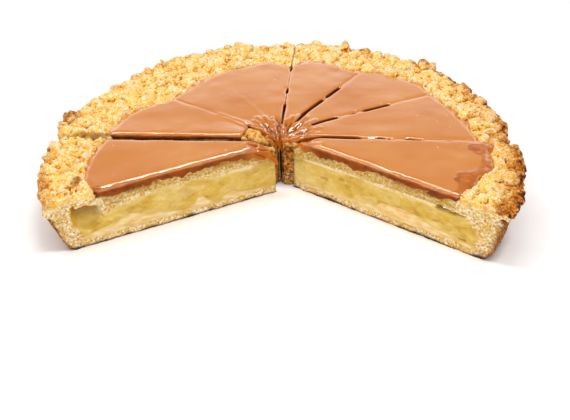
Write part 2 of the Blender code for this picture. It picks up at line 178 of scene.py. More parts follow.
def along(pairs, places):
    """The value at each place along (place, value) pairs, straight between them."""
    known = np.array(pairs)
    return np.interp(places, known[:, 0], known[:, 1])


# ---------------------------------------------------------------- slices and their solids


def on_line(start, end, radii):
    """The azimuths where the line from start to end is this far from the axis."""
    way = end - start
    dot, length = start @ way, way @ way
    inside = np.maximum(dot * dot - length * (start @ start - radii**2), 0.0)
    place = start + ((np.sqrt(inside) - dot) / length)[:, None] * way
    return azimuth_of(place)


class Portion:
    """One slice: where the knife passed on either side of it, and how far it was pulled out of line."""

    def __init__(self, number):
        self.number = number
        self.cuts = KNIFE_CUTS[number], KNIFE_CUTS[number - 1]
        self.shift = np.array((*SLICE_SHIFTS.get(number, (0.0, 0.0)), 0.0))
        self.sides = [self.knife_side(cut, sign) for cut, sign in zip(self.cuts, (1.0, -1.0))]
        right, left = (azimuth_of(bend) for bend, _, _ in self.sides)
        offset = max(side[2] for side in self.sides)
        self.tip_radius = offset / math.sin(math.radians(left - right) / 2.0)
        self.tip = polar((left + right) / 2.0, self.tip_radius)[:2]
        shore = along(CARAMEL_EDGE, np.linspace(*self.cuts, 40))
        self.rim_start = max(RIM_START, shore.min() - 4.5)
        self.trees = {}

    @staticmethod
    def knife_side(azimuth, sign):
        """Where the knife's edge bends, a far point on it, and half the cut's width."""
        width = CLOSED_CUT_WIDTH if azimuth in CLOSED_CUTS else KNIFE_WIDTH
        aside = polar(azimuth + 90.0 * sign, width / 2.0)[:2]
        bend = polar(azimuth, BEND_RADIUS)[:2] + polar(azimuth + 90.0, KNIFE_BENDS.get(azimuth, 0.0))[:2]
        return bend + aside, polar(azimuth, FAR)[:2] + aside, width / 2.0

    def azimuths(self, radii):
        """The azimuths of the right and the left cut face at these radii."""
        radii = np.asarray(radii, float)
        found = []
        for bend, end, _ in self.sides:
            near, far = on_line(self.tip, bend, radii), on_line(bend, end, radii)
            found.append(np.where(radii < np.hypot(*bend), near, far))
        return found

    def span_at(self, radius):
        """The azimuths of the right and the left cut face at one radius."""
        return (float(side[0]) for side in self.azimuths([radius]))

    def mesh(self, kind):
        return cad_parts[f"slice_{self.number}_{kind}"].data

    def tree(self, kind):
        if kind not in self.trees:
            mesh = self.mesh(kind)
            corners = [vertex.co for vertex in mesh.vertices]
            self.trees[kind] = BVHTree.FromPolygons(corners, [face.vertices[:] for face in mesh.polygons])
        return self.trees[kind]

    def placed(self, points):
        """Points of the pie, in metres and where this slice stands."""
        return (points + self.shift + PIE_AXIS) * MM

    def heights(self, kind, points):
        """The top and the floor of a layer's solid over each point, missing where there is none."""
        tree, flat = self.tree(kind), self.placed(points).reshape(-1, 3)
        top, floor = np.full(len(flat), np.nan), np.full(len(flat), np.nan)
        for index, (x, y, _) in enumerate(flat):
            above = tree.ray_cast(Vector((x, y, 1.0)), Vector((0.0, 0.0, -1.0)))[0]
            if above is not None:
                below = tree.ray_cast(Vector((x, y, -1.0)), Vector((0.0, 0.0, 1.0)))[0]
                top[index], floor[index] = above.z / MM, below.z / MM
        return top.reshape(points.shape[:-1]), floor.reshape(points.shape[:-1])

    def solid(self, kind):
        """The corners and triangles of a layer's solid, in millimetres from the pie's axis."""
        shape = bmesh.new()
        shape.from_mesh(self.mesh(kind))
        bmesh.ops.remove_doubles(shape, verts=shape.verts, dist=0.000002)
        bmesh.ops.triangulate(shape, faces=shape.faces)
        points, faces = read_shape(shape)
        return points / MM - self.shift - PIE_AXIS, faces


def read_shape(shape):
    """The points and triangles of a bmesh, which is then freed."""
    points = np.array([vertex.co for vertex in shape.verts])
    faces = np.array([[vertex.index for vertex in face.verts] for face in shape.faces])
    shape.free()
    return points, faces


portions = {number: Portion(number) for number in PORTIONS}


# ---------------------------------------------------------------- skins


class Skin:
    """Closed faces with, for each point, the way out of the cut face it is on, and its depth through its layer."""

    def __init__(self, points, faces, outward=None, depth=None):
        self.points = points
        self.faces = faces
        self.outward = np.zeros_like(points) if outward is None else outward
        self.depth = np.zeros(len(points)) if depth is None else depth

    @property
    def on_cut(self):
        return np.linalg.norm(self.outward, axis=-1) > 0.5

    def leaning(self):
        """About 1 on the left cut face, about -1 on the right one, and 0 elsewhere."""
        return np.sum(self.outward * anticlockwise(self.points), axis=-1)

    def normals(self):
        a, b, c = (self.points[self.faces[:, corner]] for corner in range(3))
        d = self.points[self.faces[:, -1]]
        size, corners, count = self.faces.shape[1], self.faces.ravel(), len(self.points)
        facing = np.cross(c - a, d - b) if size == 4 else np.cross(b - a, c - a)
        total = stacked(*(np.bincount(corners, np.repeat(facing[:, axis], size), count) for axis in range(3)))
        return total / np.maximum(np.linalg.norm(total, axis=-1, keepdims=True), 1e-9)

    def relaxed(self, rounds, pull=0.5):
        """The points, each drawn towards the middle of its neighbours time after time."""
        turned = np.roll(self.faces, -1, axis=1)
        ends = np.concatenate([self.faces, turned]).ravel()
        other = np.concatenate([turned, self.faces]).ravel()
        count = np.maximum(np.bincount(ends, minlength=len(self.points)), 1)
        points = self.points
        for _ in range(rounds):
            middle = stacked(*(np.bincount(ends, points[other, axis], len(points)) / count for axis in range(3)))
            points = points + (middle - points) * pull
        return points

    def standing(self, rounds):
        """How far each point stands above its wider neighbourhood, or below it."""
        return np.sum((self.points - self.relaxed(rounds, 0.7)) * self.normals(), axis=-1)


def merged(parts):
    """Several meshes, each its points and its faces, as one."""
    steps = np.cumsum([0] + [len(points) for points, _ in parts[:-1]])
    faces = [shape + step for (_, shape), step in zip(parts, steps)]
    return np.concatenate([points for points, _ in parts]), np.concatenate(faces)


def joined(skins):
    """Several skins as one."""
    outward, depth = (np.concatenate([getattr(skin, name) for skin in skins]) for name in ("outward", "depth"))
    return Skin(*merged([(skin.points, skin.faces) for skin in skins]), outward, depth)


def block_skin(places):
    """The outer points and faces of a block of columns, rows and layers of places, and each point's number in it."""
    shape = places.shape[:3]
    number = np.arange(np.prod(shape)).reshape(shape)
    faces = []
    for axis in range(3):
        for side in (0, -1):
            sheet = np.take(number, side, axis)
            quads = [sheet[:-1, :-1], sheet[1:, :-1], sheet[1:, 1:], sheet[:-1, 1:]]
            quads = np.stack(quads, axis=-1).reshape(-1, 4)
            faces.append(quads[:, ::-1] if (side == 0) != (axis == 1) else quads)
    used, faces = np.unique(np.concatenate(faces), return_inverse=True)
    where = np.stack(np.unravel_index(used, shape), axis=-1)
    return places.reshape(-1, 3)[used], faces.reshape(-1, 4), where


def cut_outward(points, where, rows):
    """The way out of the cut face that a point of a block is on: clockwise on the right one, or the other way."""
    side = np.where(where[:, 1] == 0, -1.0, np.where(where[:, 1] == rows - 1, 1.0, 0.0))
    return anticlockwise(points) * side[:, None]


def filled_in(heights):
    """Heights with the missing ones taken from the ring inside them, or from the one outside where that has none."""
    last = len(heights) - 1
    for ring in (*range(1, last + 1), *range(last - 1, -1, -1)):
        inner, outer = heights[max(ring - 1, 0)], heights[min(ring + 1, last)]
        near = inner if ring and not np.isnan(inner).all() else outer
        heights[ring] = np.where(np.isnan(heights[ring]), near, heights[ring])
    return heights


def layer_block(kind, portion, start, end, step, across, rows, sunk=0.25, raised=0.25, lowest=0.0):
    """A wedge of one layer with even faces, as high as its solid is there."""
    radii = np.append(np.arange(max(start, portion.tip_radius + 0.5), end, step), end)
    right, left = portion.azimuths(radii)
    share = np.linspace(0.0, 1.0, across + 1)
    azimuths = right[:, None] + (left - right)[:, None] * share
    read = right[:, None] + (left - right)[:, None] * np.clip(share, 0.03, 0.97)
    top, floor = portion.heights(kind, polar(read, radii[:, None] + 0.05))
    top, floor = filled_in(top) + raised, np.maximum(filled_in(floor) - sunk, lowest)
    level = np.linspace(0.0, 1.0, rows + 1)
    heights = floor[..., None] + (top - floor)[..., None] * level
    places = polar(azimuths[..., None], radii[:, None, None], heights)
    points, faces, where = block_skin(places)
    return Skin(points, faces, cut_outward(points, where, across + 1), level[where[:, 2]])


def fused(parts, voxel):
    """Overlapping closed meshes as one skin of even faces."""
    obj = new_object("fusing", *merged(parts))
    remesh = obj.modifiers.new("Fuse", "REMESH")
    remesh.mode = "VOXEL"
    remesh.voxel_size = voxel
    evaluated = obj.evaluated_get(bpy.context.evaluated_depsgraph_get())
    mesh = evaluated.to_mesh()
    skin = Skin(read_points(mesh), read_quads(mesh))
    evaluated.to_mesh_clear()
    old = obj.data
    bpy.data.objects.remove(obj)
    bpy.data.meshes.remove(old)
    return skin


def read_points(mesh):
    points = np.empty(len(mesh.vertices) * 3, np.float32)
    mesh.vertices.foreach_get("co", points)
    return points.reshape(-1, 3).astype(float)


def read_quads(mesh):
    corners = np.empty(len(mesh.loops), np.int32)
    mesh.loops.foreach_get("vertex_index", corners)
    return corners.reshape(-1, 4)


def new_object(name, points, faces):
    mesh = bpy.data.meshes.new(name)
    size = faces.shape[1]
    mesh.vertices.add(len(points))
    mesh.vertices.foreach_set("co", points.astype(np.float32).ravel())
    mesh.loops.add(faces.size)
    mesh.loops.foreach_set("vertex_index", faces.astype(np.int32).ravel())
    mesh.polygons.add(len(faces))
    mesh.polygons.foreach_set("loop_start", np.arange(0, faces.size, size, dtype=np.int32))
    mesh.update(calc_edges=True)
    obj = bpy.data.objects.new(name, mesh)
    bpy.context.scene.collection.objects.link(obj)
    return obj


def finished(slot, skin, portion, material, paint, name=None, numbers=None):
    """The skin as a piece: placed, painted by point, and riding in the place of its slice's solid or of several."""
    nodes = [f"slice_{number}_{slot}" for number in numbers or (portion.number,)]
    obj = new_object(name or f"{slot}_{portion.number}", portion.placed(skin.points), skin.faces)
    mesh = obj.data
    mesh.polygons.foreach_set("use_smooth", np.ones(len(mesh.polygons), bool))
    tint = mesh.attributes.new("paint", "FLOAT_COLOR", "POINT")
    tint.data.foreach_set("color", np.clip(paint, 0.0, 1.0).astype(np.float32).ravel())
    grain = mesh.attributes.new("grain", "FLOAT_VECTOR", "POINT")
    row = portion.number * 31.0 + np.sign(skin.leaning()) * 9.0
    flow = stacked(radius_of(skin.points), row, skin.points[:, 2])
    grain.data.foreach_set("vector", (flow * MM).astype(np.float32).ravel())
    mesh.materials.append(material)
    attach(obj, "root")
    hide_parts(*nodes)
    return obj


def painted(*channels):
    """Up to four channels of paint for each point; those not given stay 0."""
    return stacked(*channels, *[0.0] * (4 - len(channels)))


# ---------------------------------------------------------------- scattered lumps


def ball(subdivisions):
    shape = bmesh.new()
    bmesh.ops.create_icosphere(shape, subdivisions=subdivisions, radius=1.0)
    return read_shape(shape)


def random_turns(count, rng):
    """Rotations, one for each lump."""
    spin = rng.normal(size=(count, 4))
    w, x, y, z = (spin / np.linalg.norm(spin, axis=1, keepdims=True)).T
    rows = (
        (1 - 2 * (y * y + z * z), 2 * (x * y - z * w), 2 * (x * z + y * w)),
        (2 * (x * y + z * w), 1 - 2 * (x * x + z * z), 2 * (y * z - x * w)),
        (2 * (x * z - y * w), 2 * (y * z + x * w), 1 - 2 * (x * x + y * y)),
    )
    return np.array(rows).transpose(2, 0, 1)


def copies(local, places, faces):
    """One ball many times over, each with points of its own round its own place, as one mesh."""
    count, size = local.shape[:2]
    faces = faces[None] + (np.arange(count) * size)[:, None, None]
    return (local + places[:, None]).reshape(-1, 3), faces.reshape(-1, 3)


def lumps(places, sizes, rng, uneven, subdivisions):
    """Uneven rounded lumps, one at each place."""
    base, faces = ball(subdivisions)
    count = len(places)
    squash = rng.uniform(0.75, 1.2, (count, 1, 3))
    swell = rng.uniform(1.0 - uneven, 1.0 + uneven, (count, len(base), 1))
    local = np.einsum("nij,nvj->nvi", random_turns(count, rng), base[None] * swell * squash)
    return copies(local * sizes[:, None, None], places, faces)


def strewn(rng, count, azimuths, radii, heights, sizes):
    """Crumbs strewn evenly between these limits of azimuth, radius, height and size."""
    places = polar(rng.uniform(*azimuths, count), rng.uniform(*radii, count), rng.uniform(*heights, count))
    return lumps(places, rng.uniform(*sizes, count), rng, 0.25, 1)


def beads(places, sizes, ways=None):
    """Smooth flattened beads, one at each place, their three half-sizes along the given ways."""
    base, faces = ball(2)
    local = base[None] * sizes[:, None]
    if ways is not None:
        local = np.einsum("nij,nvi->nvj", ways, local)
    return copies(local, places, faces)


# ---------------------------------------------------------------- materials


def hue(code):
    """A six-digit colour code as linear red, green, blue and alpha."""
    parts = [int(code[i : i + 2], 16) / 255.0 for i in (0, 2, 4)]
    return (*(part / 12.92 if part <= 0.04045 else ((part + 0.055) / 1.055) ** 2.4 for part in parts), 1.0)


def fill_ramp(node, stops):
    """Sets the stops of a colour ramp, each a place and a colour."""
    elements = node.color_ramp.elements
    while len(elements) < len(stops):
        elements.new(0.5)
    for element, (place, colour) in zip(elements, stops):
        element.position, element.color = place, colour


class Recipe:
    """A material in the making: a Principled shader and short ways to add textures."""

    def __init__(self, name, roughness, **sockets):
        self.material = bpy.data.materials.new(name)
        self.material.use_nodes = True
        self.tree = self.material.node_tree
        self.shader = self.tree.nodes["Principled BSDF"]
        self.shader.inputs["Roughness"].default_value = roughness
        for label, value in sockets.items():
            self.shader.inputs[label.replace("_", " ")].default_value = value
        self.place = self.add("ShaderNodeTexCoord").outputs["Object"]
        self.flow = self.add("ShaderNodeAttribute", {"attribute_name": "grain"}).outputs["Vector"]
        paint = self.add("ShaderNodeAttribute", {"attribute_name": "paint"})
        split = self.add("ShaderNodeSeparateColor", Color=paint.outputs["Color"])
        self.red, self.green, self.blue = split.outputs[:3]
        self.alpha = paint.outputs["Alpha"]

    def add(self, kind, settings=None, **inputs):
        node = self.tree.nodes.new(kind)
        for label, value in (settings or {}).items():
            setattr(node, label, value)
        for label, value in inputs.items():
            self.put(node.inputs[label.replace("_", " ")], value)
        return node

    def put(self, socket, value):
        """Links a socket to another one, or sets it to a number, a colour or a colour code."""
        if isinstance(value, bpy.types.NodeSocket):
            self.tree.links.new(value, socket)
        else:
            socket.default_value = hue(value) if isinstance(value, str) else value

    def stretched(self, size, source=None):
        """Coordinates in which grains come out this large, in millimetres: one size, or one for each axis."""
        sizes = size if isinstance(size, tuple) else (size, size, size)
        scale = tuple(1.0 / (size * MM) for size in sizes)
        return self.add("ShaderNodeMapping", Vector=source or self.place, Scale=scale).outputs["Vector"]

    def noise(self, size, detail=2.0, source=None, rough=0.5, warp=0.0):
        where = self.stretched(size, source)
        return self.add(
            "ShaderNodeTexNoise", Vector=where, Scale=1.0, Detail=detail, Roughness=rough, Distortion=warp
        ).outputs["Fac"]

    def cells(self, size):
        """Scattered spots this far apart: the distance to the nearest one, and its own colour."""
        return self.add("ShaderNodeTexVoronoi", Vector=self.stretched(size), Scale=1.0).outputs

    def ramp(self, value, *stops):
        """Colours by value: each stop is a place, and a colour code or one of the settings' colours."""
        node = self.add("ShaderNodeValToRGB", Fac=value)
        fill_ramp(node, [(place, hue(code) if isinstance(code, str) else (*code, 1.0)) for place, code in stops])
        return node.outputs["Color"]

    def span(self, value, low, high, start=0.0, end=1.0):
        """The value moved from low..high to start..end, kept inside."""
        node = self.add("ShaderNodeMapRange", {"interpolation_type": "SMOOTHSTEP"}, Value=value)
        for label, number in (("From Min", low), ("From Max", high), ("To Min", start), ("To Max", end)):
            node.inputs[label].default_value = number
        return node.outputs["Result"]

    def maths(self, operation, a, b):
        node = self.add("ShaderNodeMath", {"operation": operation})
        self.put(node.inputs[0], a)
        self.put(node.inputs[1], b)
        return node.outputs["Value"]

    def mix(self, factor, a, b):
        """From one colour, a, to another, b, by the factor."""
        node = self.add("ShaderNodeMix", {"data_type": "RGBA"})
        for socket, value in ((0, factor), (6, a), (7, b)):
            self.put(node.inputs[socket], value)
        return node.outputs[2]

    def crumb(self):
        """Cut baked crumb: its colour, and the noise of its pores."""
        pores = self.noise(1.2, 3.0, rough=0.6)
        colour = self.ramp(pores, (0.34, "B87408"), (0.43, "DEAC48"), (0.52, "EACF98"), (0.64, "FDF7EC"))
        rich = self.span(self.noise(7.0, 3.0), 0.42, 0.66, 0.0, 0.5)
        colour = self.mix(rich, colour, "DCAE4C")
        spots = self.span(self.noise(2.4, 2.0), 0.63, 0.72, 0.0, 0.7)
        return self.mix(spots, colour, "C8740E"), pores

    def finish(self, colour, heights=(), roughness=None):
        """Links the colour, the roughness and the bumps, each a height and its depth in millimetres."""
        self.put(self.shader.inputs["Base Color"], colour)
        if roughness is not None:
            self.put(self.shader.inputs["Roughness"], roughness)
        normal = None
        for height, depth in heights:
            bump = self.add("ShaderNodeBump", Height=height, Distance=depth * MM, Strength=1.0)
            if normal is not None:
                self.put(bump.inputs["Normal"], normal)
            normal = bump.outputs["Normal"]
        if normal is not None:
            self.put(self.shader.inputs["Normal"], normal)
        return self.material


def crust_material(settings):
    """Red: browned skin. Blue: burnt specks and the burnt lower edge. Alpha: crumb soaked by the filling in the
    hollows, with painted shade towards their top.
    """
    recipe = Recipe("shortcrust", 0.85, Specular_IOR_Level=0.15)
    crumb, pores = recipe.crumb()
    grain = recipe.cells(0.95)["Distance"]
    skin = recipe.ramp(recipe.noise(7.0), (0.25, "8A4212"), (0.45, settings.skin_colour), (0.7, "D29048"))
    flecks = recipe.ramp(grain, (0.05, "F8DCA4"), (0.24, "CC802C"), (0.46, "863806"), (0.72, "3C1200"))
    skin = recipe.mix(0.7, skin, flecks)
    # Soaked crumb in the hollows; its darker end is painted shade towards the hollow's top.
    soaked = recipe.ramp(recipe.alpha, (0.3, "D2A63C"), (0.6, "BC8A22"), (1.0, "94640C"))
    crumb = recipe.mix(recipe.span(recipe.alpha, 0.0, 0.35), crumb, soaked)
    colour = recipe.mix(recipe.red, crumb, skin)
    colour = recipe.mix(recipe.blue, colour, "3E1A04")
    return recipe.finish(colour, ((pores, 0.4), (grain, 0.3)))


def custard_material(settings):
    """Red: the upper edge, stained by the apple."""
    recipe = Recipe(
        "set_custard",
        0.36,
        Specular_IOR_Level=0.35,
        Subsurface_Weight=0.2,
        Subsurface_Radius=(1.0, 0.7, 0.35),
        Subsurface_Scale=0.003,
    )
    soft = recipe.noise((7.0, 7.0, 2.5), 2.0, recipe.flow)
    colour = recipe.ramp(soft, (0.3, "E0B25A"), (0.5, settings.custard_colour), (0.7, "F4DEAE"))
    colour = recipe.mix(recipe.red, colour, "E0B858")
    return recipe.finish(colour, ((soft, 0.5), (recipe.noise(1.2), 0.12)))


def apple_material(settings):
    """Red: painted shade in the hollows and cracks and towards the tips. Green: the pale line and flakes. Blue: paler
    flesh. Alpha: crumb soaked with juice.
    """
    recipe = Recipe(
        "cooked_apple",
        0.3,
        Specular_IOR_Level=0.4,
        Subsurface_Weight=0.2,
        Subsurface_Radius=(1.0, 0.8, 0.3),
        Subsurface_Scale=0.004,
    )
    broad = recipe.noise((8.0, 9.0, 5.0), 3.0, recipe.flow, warp=0.5)
    fibre = recipe.noise((3.4, 9.0, 1.5), 3.0, recipe.flow, warp=0.6)
    crumb, pores = recipe.crumb()
    colour = recipe.ramp(broad, (0.28, "C08E1C"), (0.45, settings.apple_colour), (0.6, "DDB64C"), (0.75, "EACD82"))
    streak = recipe.span(fibre, 0.55, 0.75, 0.0, 0.3)
    colour = recipe.mix(streak, colour, "F6E2A2")
    colour = recipe.mix(recipe.blue, colour, "F0D890")
    colour = recipe.mix(recipe.green, colour, "F8E9C4")
    colour = recipe.mix(recipe.alpha, colour, crumb)
    # Painted shade in the hollows, the cracks and towards the tips.
    colour = recipe.mix(recipe.red, colour, "8C5C06")
    moist = recipe.mix(recipe.alpha, recipe.span(broad, 0.3, 0.7, 0.24, 0.42), (0.8, 0.8, 0.8, 1.0))
    return recipe.finish(colour, ((broad, 0.4), (fibre, 0.2), (pores, 0.2)), moist)


def crumble_material(settings):
    """Red: toasting, with painted shade in creases, hollows and towards the tips. Green: knife-cut face. Blue:
    scorching, with painted shade in deep creases, hollows and towards the tips. Alpha: from painted shade in the
    creases between crumbs up to painted highlight on their tops, and the paler outer crumb of the cut face.
    """
    recipe = Recipe("baked_crumble", 0.82, Specular_IOR_Level=0.15)
    fine = recipe.noise(0.6, 3.0)
    tone = recipe.noise(2.6, 4.0, rough=0.6)
    colour = recipe.ramp(tone, (0.34, "FFC544"), (0.48, settings.crumb_colour), (0.62, "FFECBA"))
    toasted = recipe.ramp(fine, (0.3, "B25808"), (0.5, settings.toast_colour), (0.7, "F2AE48"))
    colour = recipe.mix(recipe.red, colour, toasted)
    # Painted highlight on the tops of the crumbs.
    crest_highlight = recipe.span(recipe.alpha, 0.5, 1.0, 0.0, 0.75)
    colour = recipe.mix(crest_highlight, colour, recipe.mix(recipe.red, "FFF5DA", "F6C67A"))
    grain = recipe.cells(1.0)["Distance"]
    # Painted shade in the gaps between the fine grains, and painted highlight on the grains' middles.
    grain_gap_shade = recipe.span(grain, 0.42, 0.72, 0.0, 0.65)
    colour = recipe.mix(grain_gap_shade, colour, recipe.mix(recipe.red, "F4B02C", "94480A"))
    grain_highlight = recipe.span(grain, 0.26, 0.08, 0.0, 0.55)
    colour = recipe.mix(grain_highlight, colour, recipe.mix(recipe.red, "FFF4D4", "FAD496"))
    # Painted shade in the creases between the crumbs.
    crease_shade = recipe.span(recipe.alpha, 0.5, 0.0)
    colour = recipe.mix(crease_shade, colour, recipe.mix(recipe.red, "D88200", "7C3000"))
    pores = recipe.noise(1.4, 3.0, rough=0.6)
    cut = recipe.ramp(pores, (0.32, "A8701A"), (0.44, "CDA048"), (0.56, "DAB874"), (0.72, "ECDCB6"))
    pale = recipe.span(recipe.alpha, 0.5, 1.0, 0.0, 0.8)
    cut = recipe.mix(pale, cut, recipe.ramp(pores, (0.36, "D29228"), (0.5, "F4DCA4"), (0.66, "FFF5DC")))
    colour = recipe.mix(recipe.green, colour, cut)
    colour = recipe.mix(recipe.blue, colour, "561C02")
    height = recipe.maths("SUBTRACT", 1.0, grain)
    return recipe.finish(colour, ((fine, 0.25), (height, 0.28)))


# The glossy caramel, and a duller copy of it for the faces with painted shade, which hides their reflections.
GLOSSY = {"IOR": 1.5, "Specular_IOR_Level": 0.9, "Coat_Weight": 0.6, "Coat_Roughness": 0.04}
SHADED_COPY_GLOSS = {"IOR": 1.45, "Specular_IOR_Level": 0.12}


def caramel_material(name, roughness, gloss, settings):
    """Red: painted glow, as of light through the caramel, at thin edges, lips and the middle. Green: painted shade on
    the sides below the lip and in the open cuts. Blue: the drapes at the middle. Alpha: painted shade in creases and
    open cuts.
    """
    recipe = Recipe(
        name, roughness, Subsurface_Weight=0.08, Subsurface_Radius=(1.0, 0.45, 0.2), Subsurface_Scale=0.002, **gloss
    )
    colour = recipe.ramp(recipe.noise(34.0), (0.3, "D28039"), (0.5, settings.top_colour), (0.7, "DC914A"))
    froth = recipe.cells(6.0)
    draw = recipe.add("ShaderNodeSeparateColor", Color=froth["Color"]).outputs[0]
    bare = recipe.maths("GREATER_THAN", draw, 0.6)
    specks = recipe.maths("MULTIPLY", recipe.span(froth["Distance"], 0.05, 0.10, 0.75, 0.0), bare)
    colour = recipe.mix(specks, colour, "F3D2B0")
    ripple = recipe.noise(5.0)
    colour = recipe.mix(recipe.blue, colour, "CE7420")
    # Painted glow, as of light through thin caramel, at the edges, the lips and the drapes.
    edge = recipe.ramp(ripple, (0.35, "AA5408"), (0.6, settings.edge_colour))
    colour = recipe.mix(recipe.red, colour, edge)
    # Painted shade on the steep sides below the lip and in the open cuts.
    side = recipe.ramp(ripple, (0.35, "763406"), (0.6, settings.side_colour))
    colour = recipe.mix(recipe.green, colour, side)
    # Painted shade in the creases and the open cuts.
    colour = recipe.mix(recipe.alpha, colour, "8C3E04")
    bubbles = recipe.maths("MULTIPLY", recipe.span(froth["Distance"], 0.0, 0.12, 1.0, 0.0), bare)
    dents = recipe.maths("MULTIPLY", recipe.noise(2.4, 1.0), recipe.red)
    return recipe.finish(colour, ((bubbles, 0.25), (recipe.noise(6.0, 1.0), 0.10), (dents, 0.3)))


# ---------------------------------------------------------------- layers


def on_faces(skin, relief):
    """Moves the points of the cut faces in or out by the relief, in millimetres."""
    skin.points = skin.points + skin.outward * relief[:, None]


def face_place(skin, portion):
    """Radius, which face, and height of each point: places on the cut faces for noise."""
    return stacked(radius_of(skin.points), portion.number * 40.0 + skin.leaning() * 12.0, skin.points[:, 2])


def open_face_place(points, portion):
    """Where each point would be on its slice's open cut face, for the same noise and hollows."""
    return stacked(radius_of(points), portion.number * 40.0 + OPEN_SIDES[portion.number] * 12.0, points[:, 2])


def oval(place, middle, half, soft=0.16):
    """1 inside an oval of radius and height, and 0 outside it, with a soft border."""
    reach = np.hypot((place[:, 0] - middle[0]) / half[0], (place[:, 2] - middle[1]) / half[1])
    return 1.0 - ease(1.0 - soft, 1.0 + soft, reach)


# How much further than the face itself the wall behind a hollow is carried along, and how far from the face.
CARRIED_ALONG = 1.35
CARRIED_WITHIN = 8.0


def make_crust(portion, settings, material):
    """The base under the fillings and the leaning wall, with crumbly cut faces and an uneven dark underside."""
    fine = portion.number in FINE
    step = settings.grain_size / MM * (1.0 if fine else 1.6)
    base = layer_block("crust", portion, 0.0, BASE_END, step * 1.2, 8, 7 if fine else 3, 0.0, 0.3)
    wall = wall_block(portion, step)
    skin = joined([base, wall])
    place = face_place(skin, portion)
    radius, height = place[:, 0], place[:, 2]
    outside = np.concatenate([np.zeros(len(base.points)), wall.depth])
    in_wall = np.arange(len(radius)) >= len(base.points)
    relief = 0.3 * soft_noise(place, (5.0, 5.0, 3.0), 21) + 0.7 * (0.5 - crumbs_of(place, 1.7, 22)[0])
    hollow = hollowing(place, portion, side_of(skin))
    if portion.number in OPEN_SIDES:
        relief -= 1.0 * ease(CUSTARD_FLOOR, CUSTARD_FLOOR + 0.6, height) * (radius < BASE_END + 0.1)
        relief += 0.9 * ease(2.8, 0.6, height)
        meeting = ease(0.2, 0.0, outside) * in_wall * ease(4.0, 6.0, height) * ease(24.0, 21.0, height)
        relief -= 1.1 * meeting
        hollow = hollow + 0.8 * in_wall * (radius < APPLE_END) * np.minimum(1.0, hollow)
    carried = np.zeros(len(radius))
    if portion.number == 1:
        beside = open_face_place(skin.points, portion)
        gap = from_cuts(skin.points, portion)[1]
        carried = CARRIED_ALONG * hollowing(beside, portion, 1.0) * ease(CARRIED_WITHIN, 0.0, gap)
        carried *= in_wall & ~skin.on_cut
    on_faces(skin, np.where(skin.on_cut, relief * (1.0 - np.minimum(1.0, hollow)) - hollow, 0.0))
    skin.points = skin.points - polar(azimuth_of(skin.points) + 90.0, carried)

    turned = skin.points
    bumps = 0.4 * soft_noise(turned, 5.0, 23) + 0.45 * (0.55 - crumbs_of(turned, 2.0, 24)[0])
    bumps += 0.3 * soft_noise(turned, (16.0, 16.0, 7.0), 25)
    push = np.where(outside > 0.99, bumps, 0.0) * ease(0.2, 2.0, height)
    skin.points = skin.points + polar(azimuth_of(turned), push)

    foot = stacked(radius, place[:, 1], 0.0)
    ragged = soft_noise(foot, 4.5, 26) + 0.6 * soft_noise(foot, 1.7, 27)
    lift = 0.25 * np.maximum(0.0, ragged + 0.15) * (1.0 - ease(0.0, 1.6, height))
    skin.points[:, 2] += np.where(skin.on_cut, lift, 0.0)
    skin.points[:, 2] = np.maximum(skin.points[:, 2], 0.0)

    edge = soft_noise(place, (3.0, 3.0, 1.6), 28)
    browned = np.maximum(ease(0.82, 0.96, outside + 0.06 * edge), 1.0 - ease(0.3, 1.4, height + 0.5 * edge))
    pitted = ease(0.3, 0.95, outside) * ease(0.05, 0.45, soft_noise(place, 1.5, 20))
    browned = np.maximum(browned, pitted * (0.75 if portion.number == 8 else 0.3))
    browned = np.where(skin.on_cut | (outside > 0.99), browned, 1.0)
    low_edge = soft_noise(place, (4.5, 4.5, 9.0), 30)
    burnt = 1.0 - ease(0.2, 1.9, height + 0.5 * edge - 0.8 * low_edge)
    burnt = burnt * ease(-0.4, 0.2, low_edge + 0.3 * edge) * 0.95
    burnt = np.maximum(burnt, 0.9 * ease(2.6, 0.9, height + 0.5 * edge) * ease(116.0, 121.0, radius))
    dark = ease(0.45, 0.85, soft_noise(turned, 2.4, 29)) * (outside > 0.99) * (0.35 + 0.65 * ease(20.0, 29.0, height))
    # Painted shade: the hollows are painted as soaked crumb, darker towards their top, under the overhang.
    soaked = np.minimum(1.0, hollow) * (radius < 123.0) * (0.4 + 0.6 * ease(17.0, 26.0, height))
    paint = painted(browned, 0.0, np.maximum(burnt, dark * 0.55), soaked)
    return finished("crust", skin, portion, material, paint)


# How far out the wall starts at each height.
WALL_INSIDE = ((0, 112), (5, 113.5), (6.5, 116.5), (11, 119), (14, 119.9), (20, 119.9), (24, 118.6))


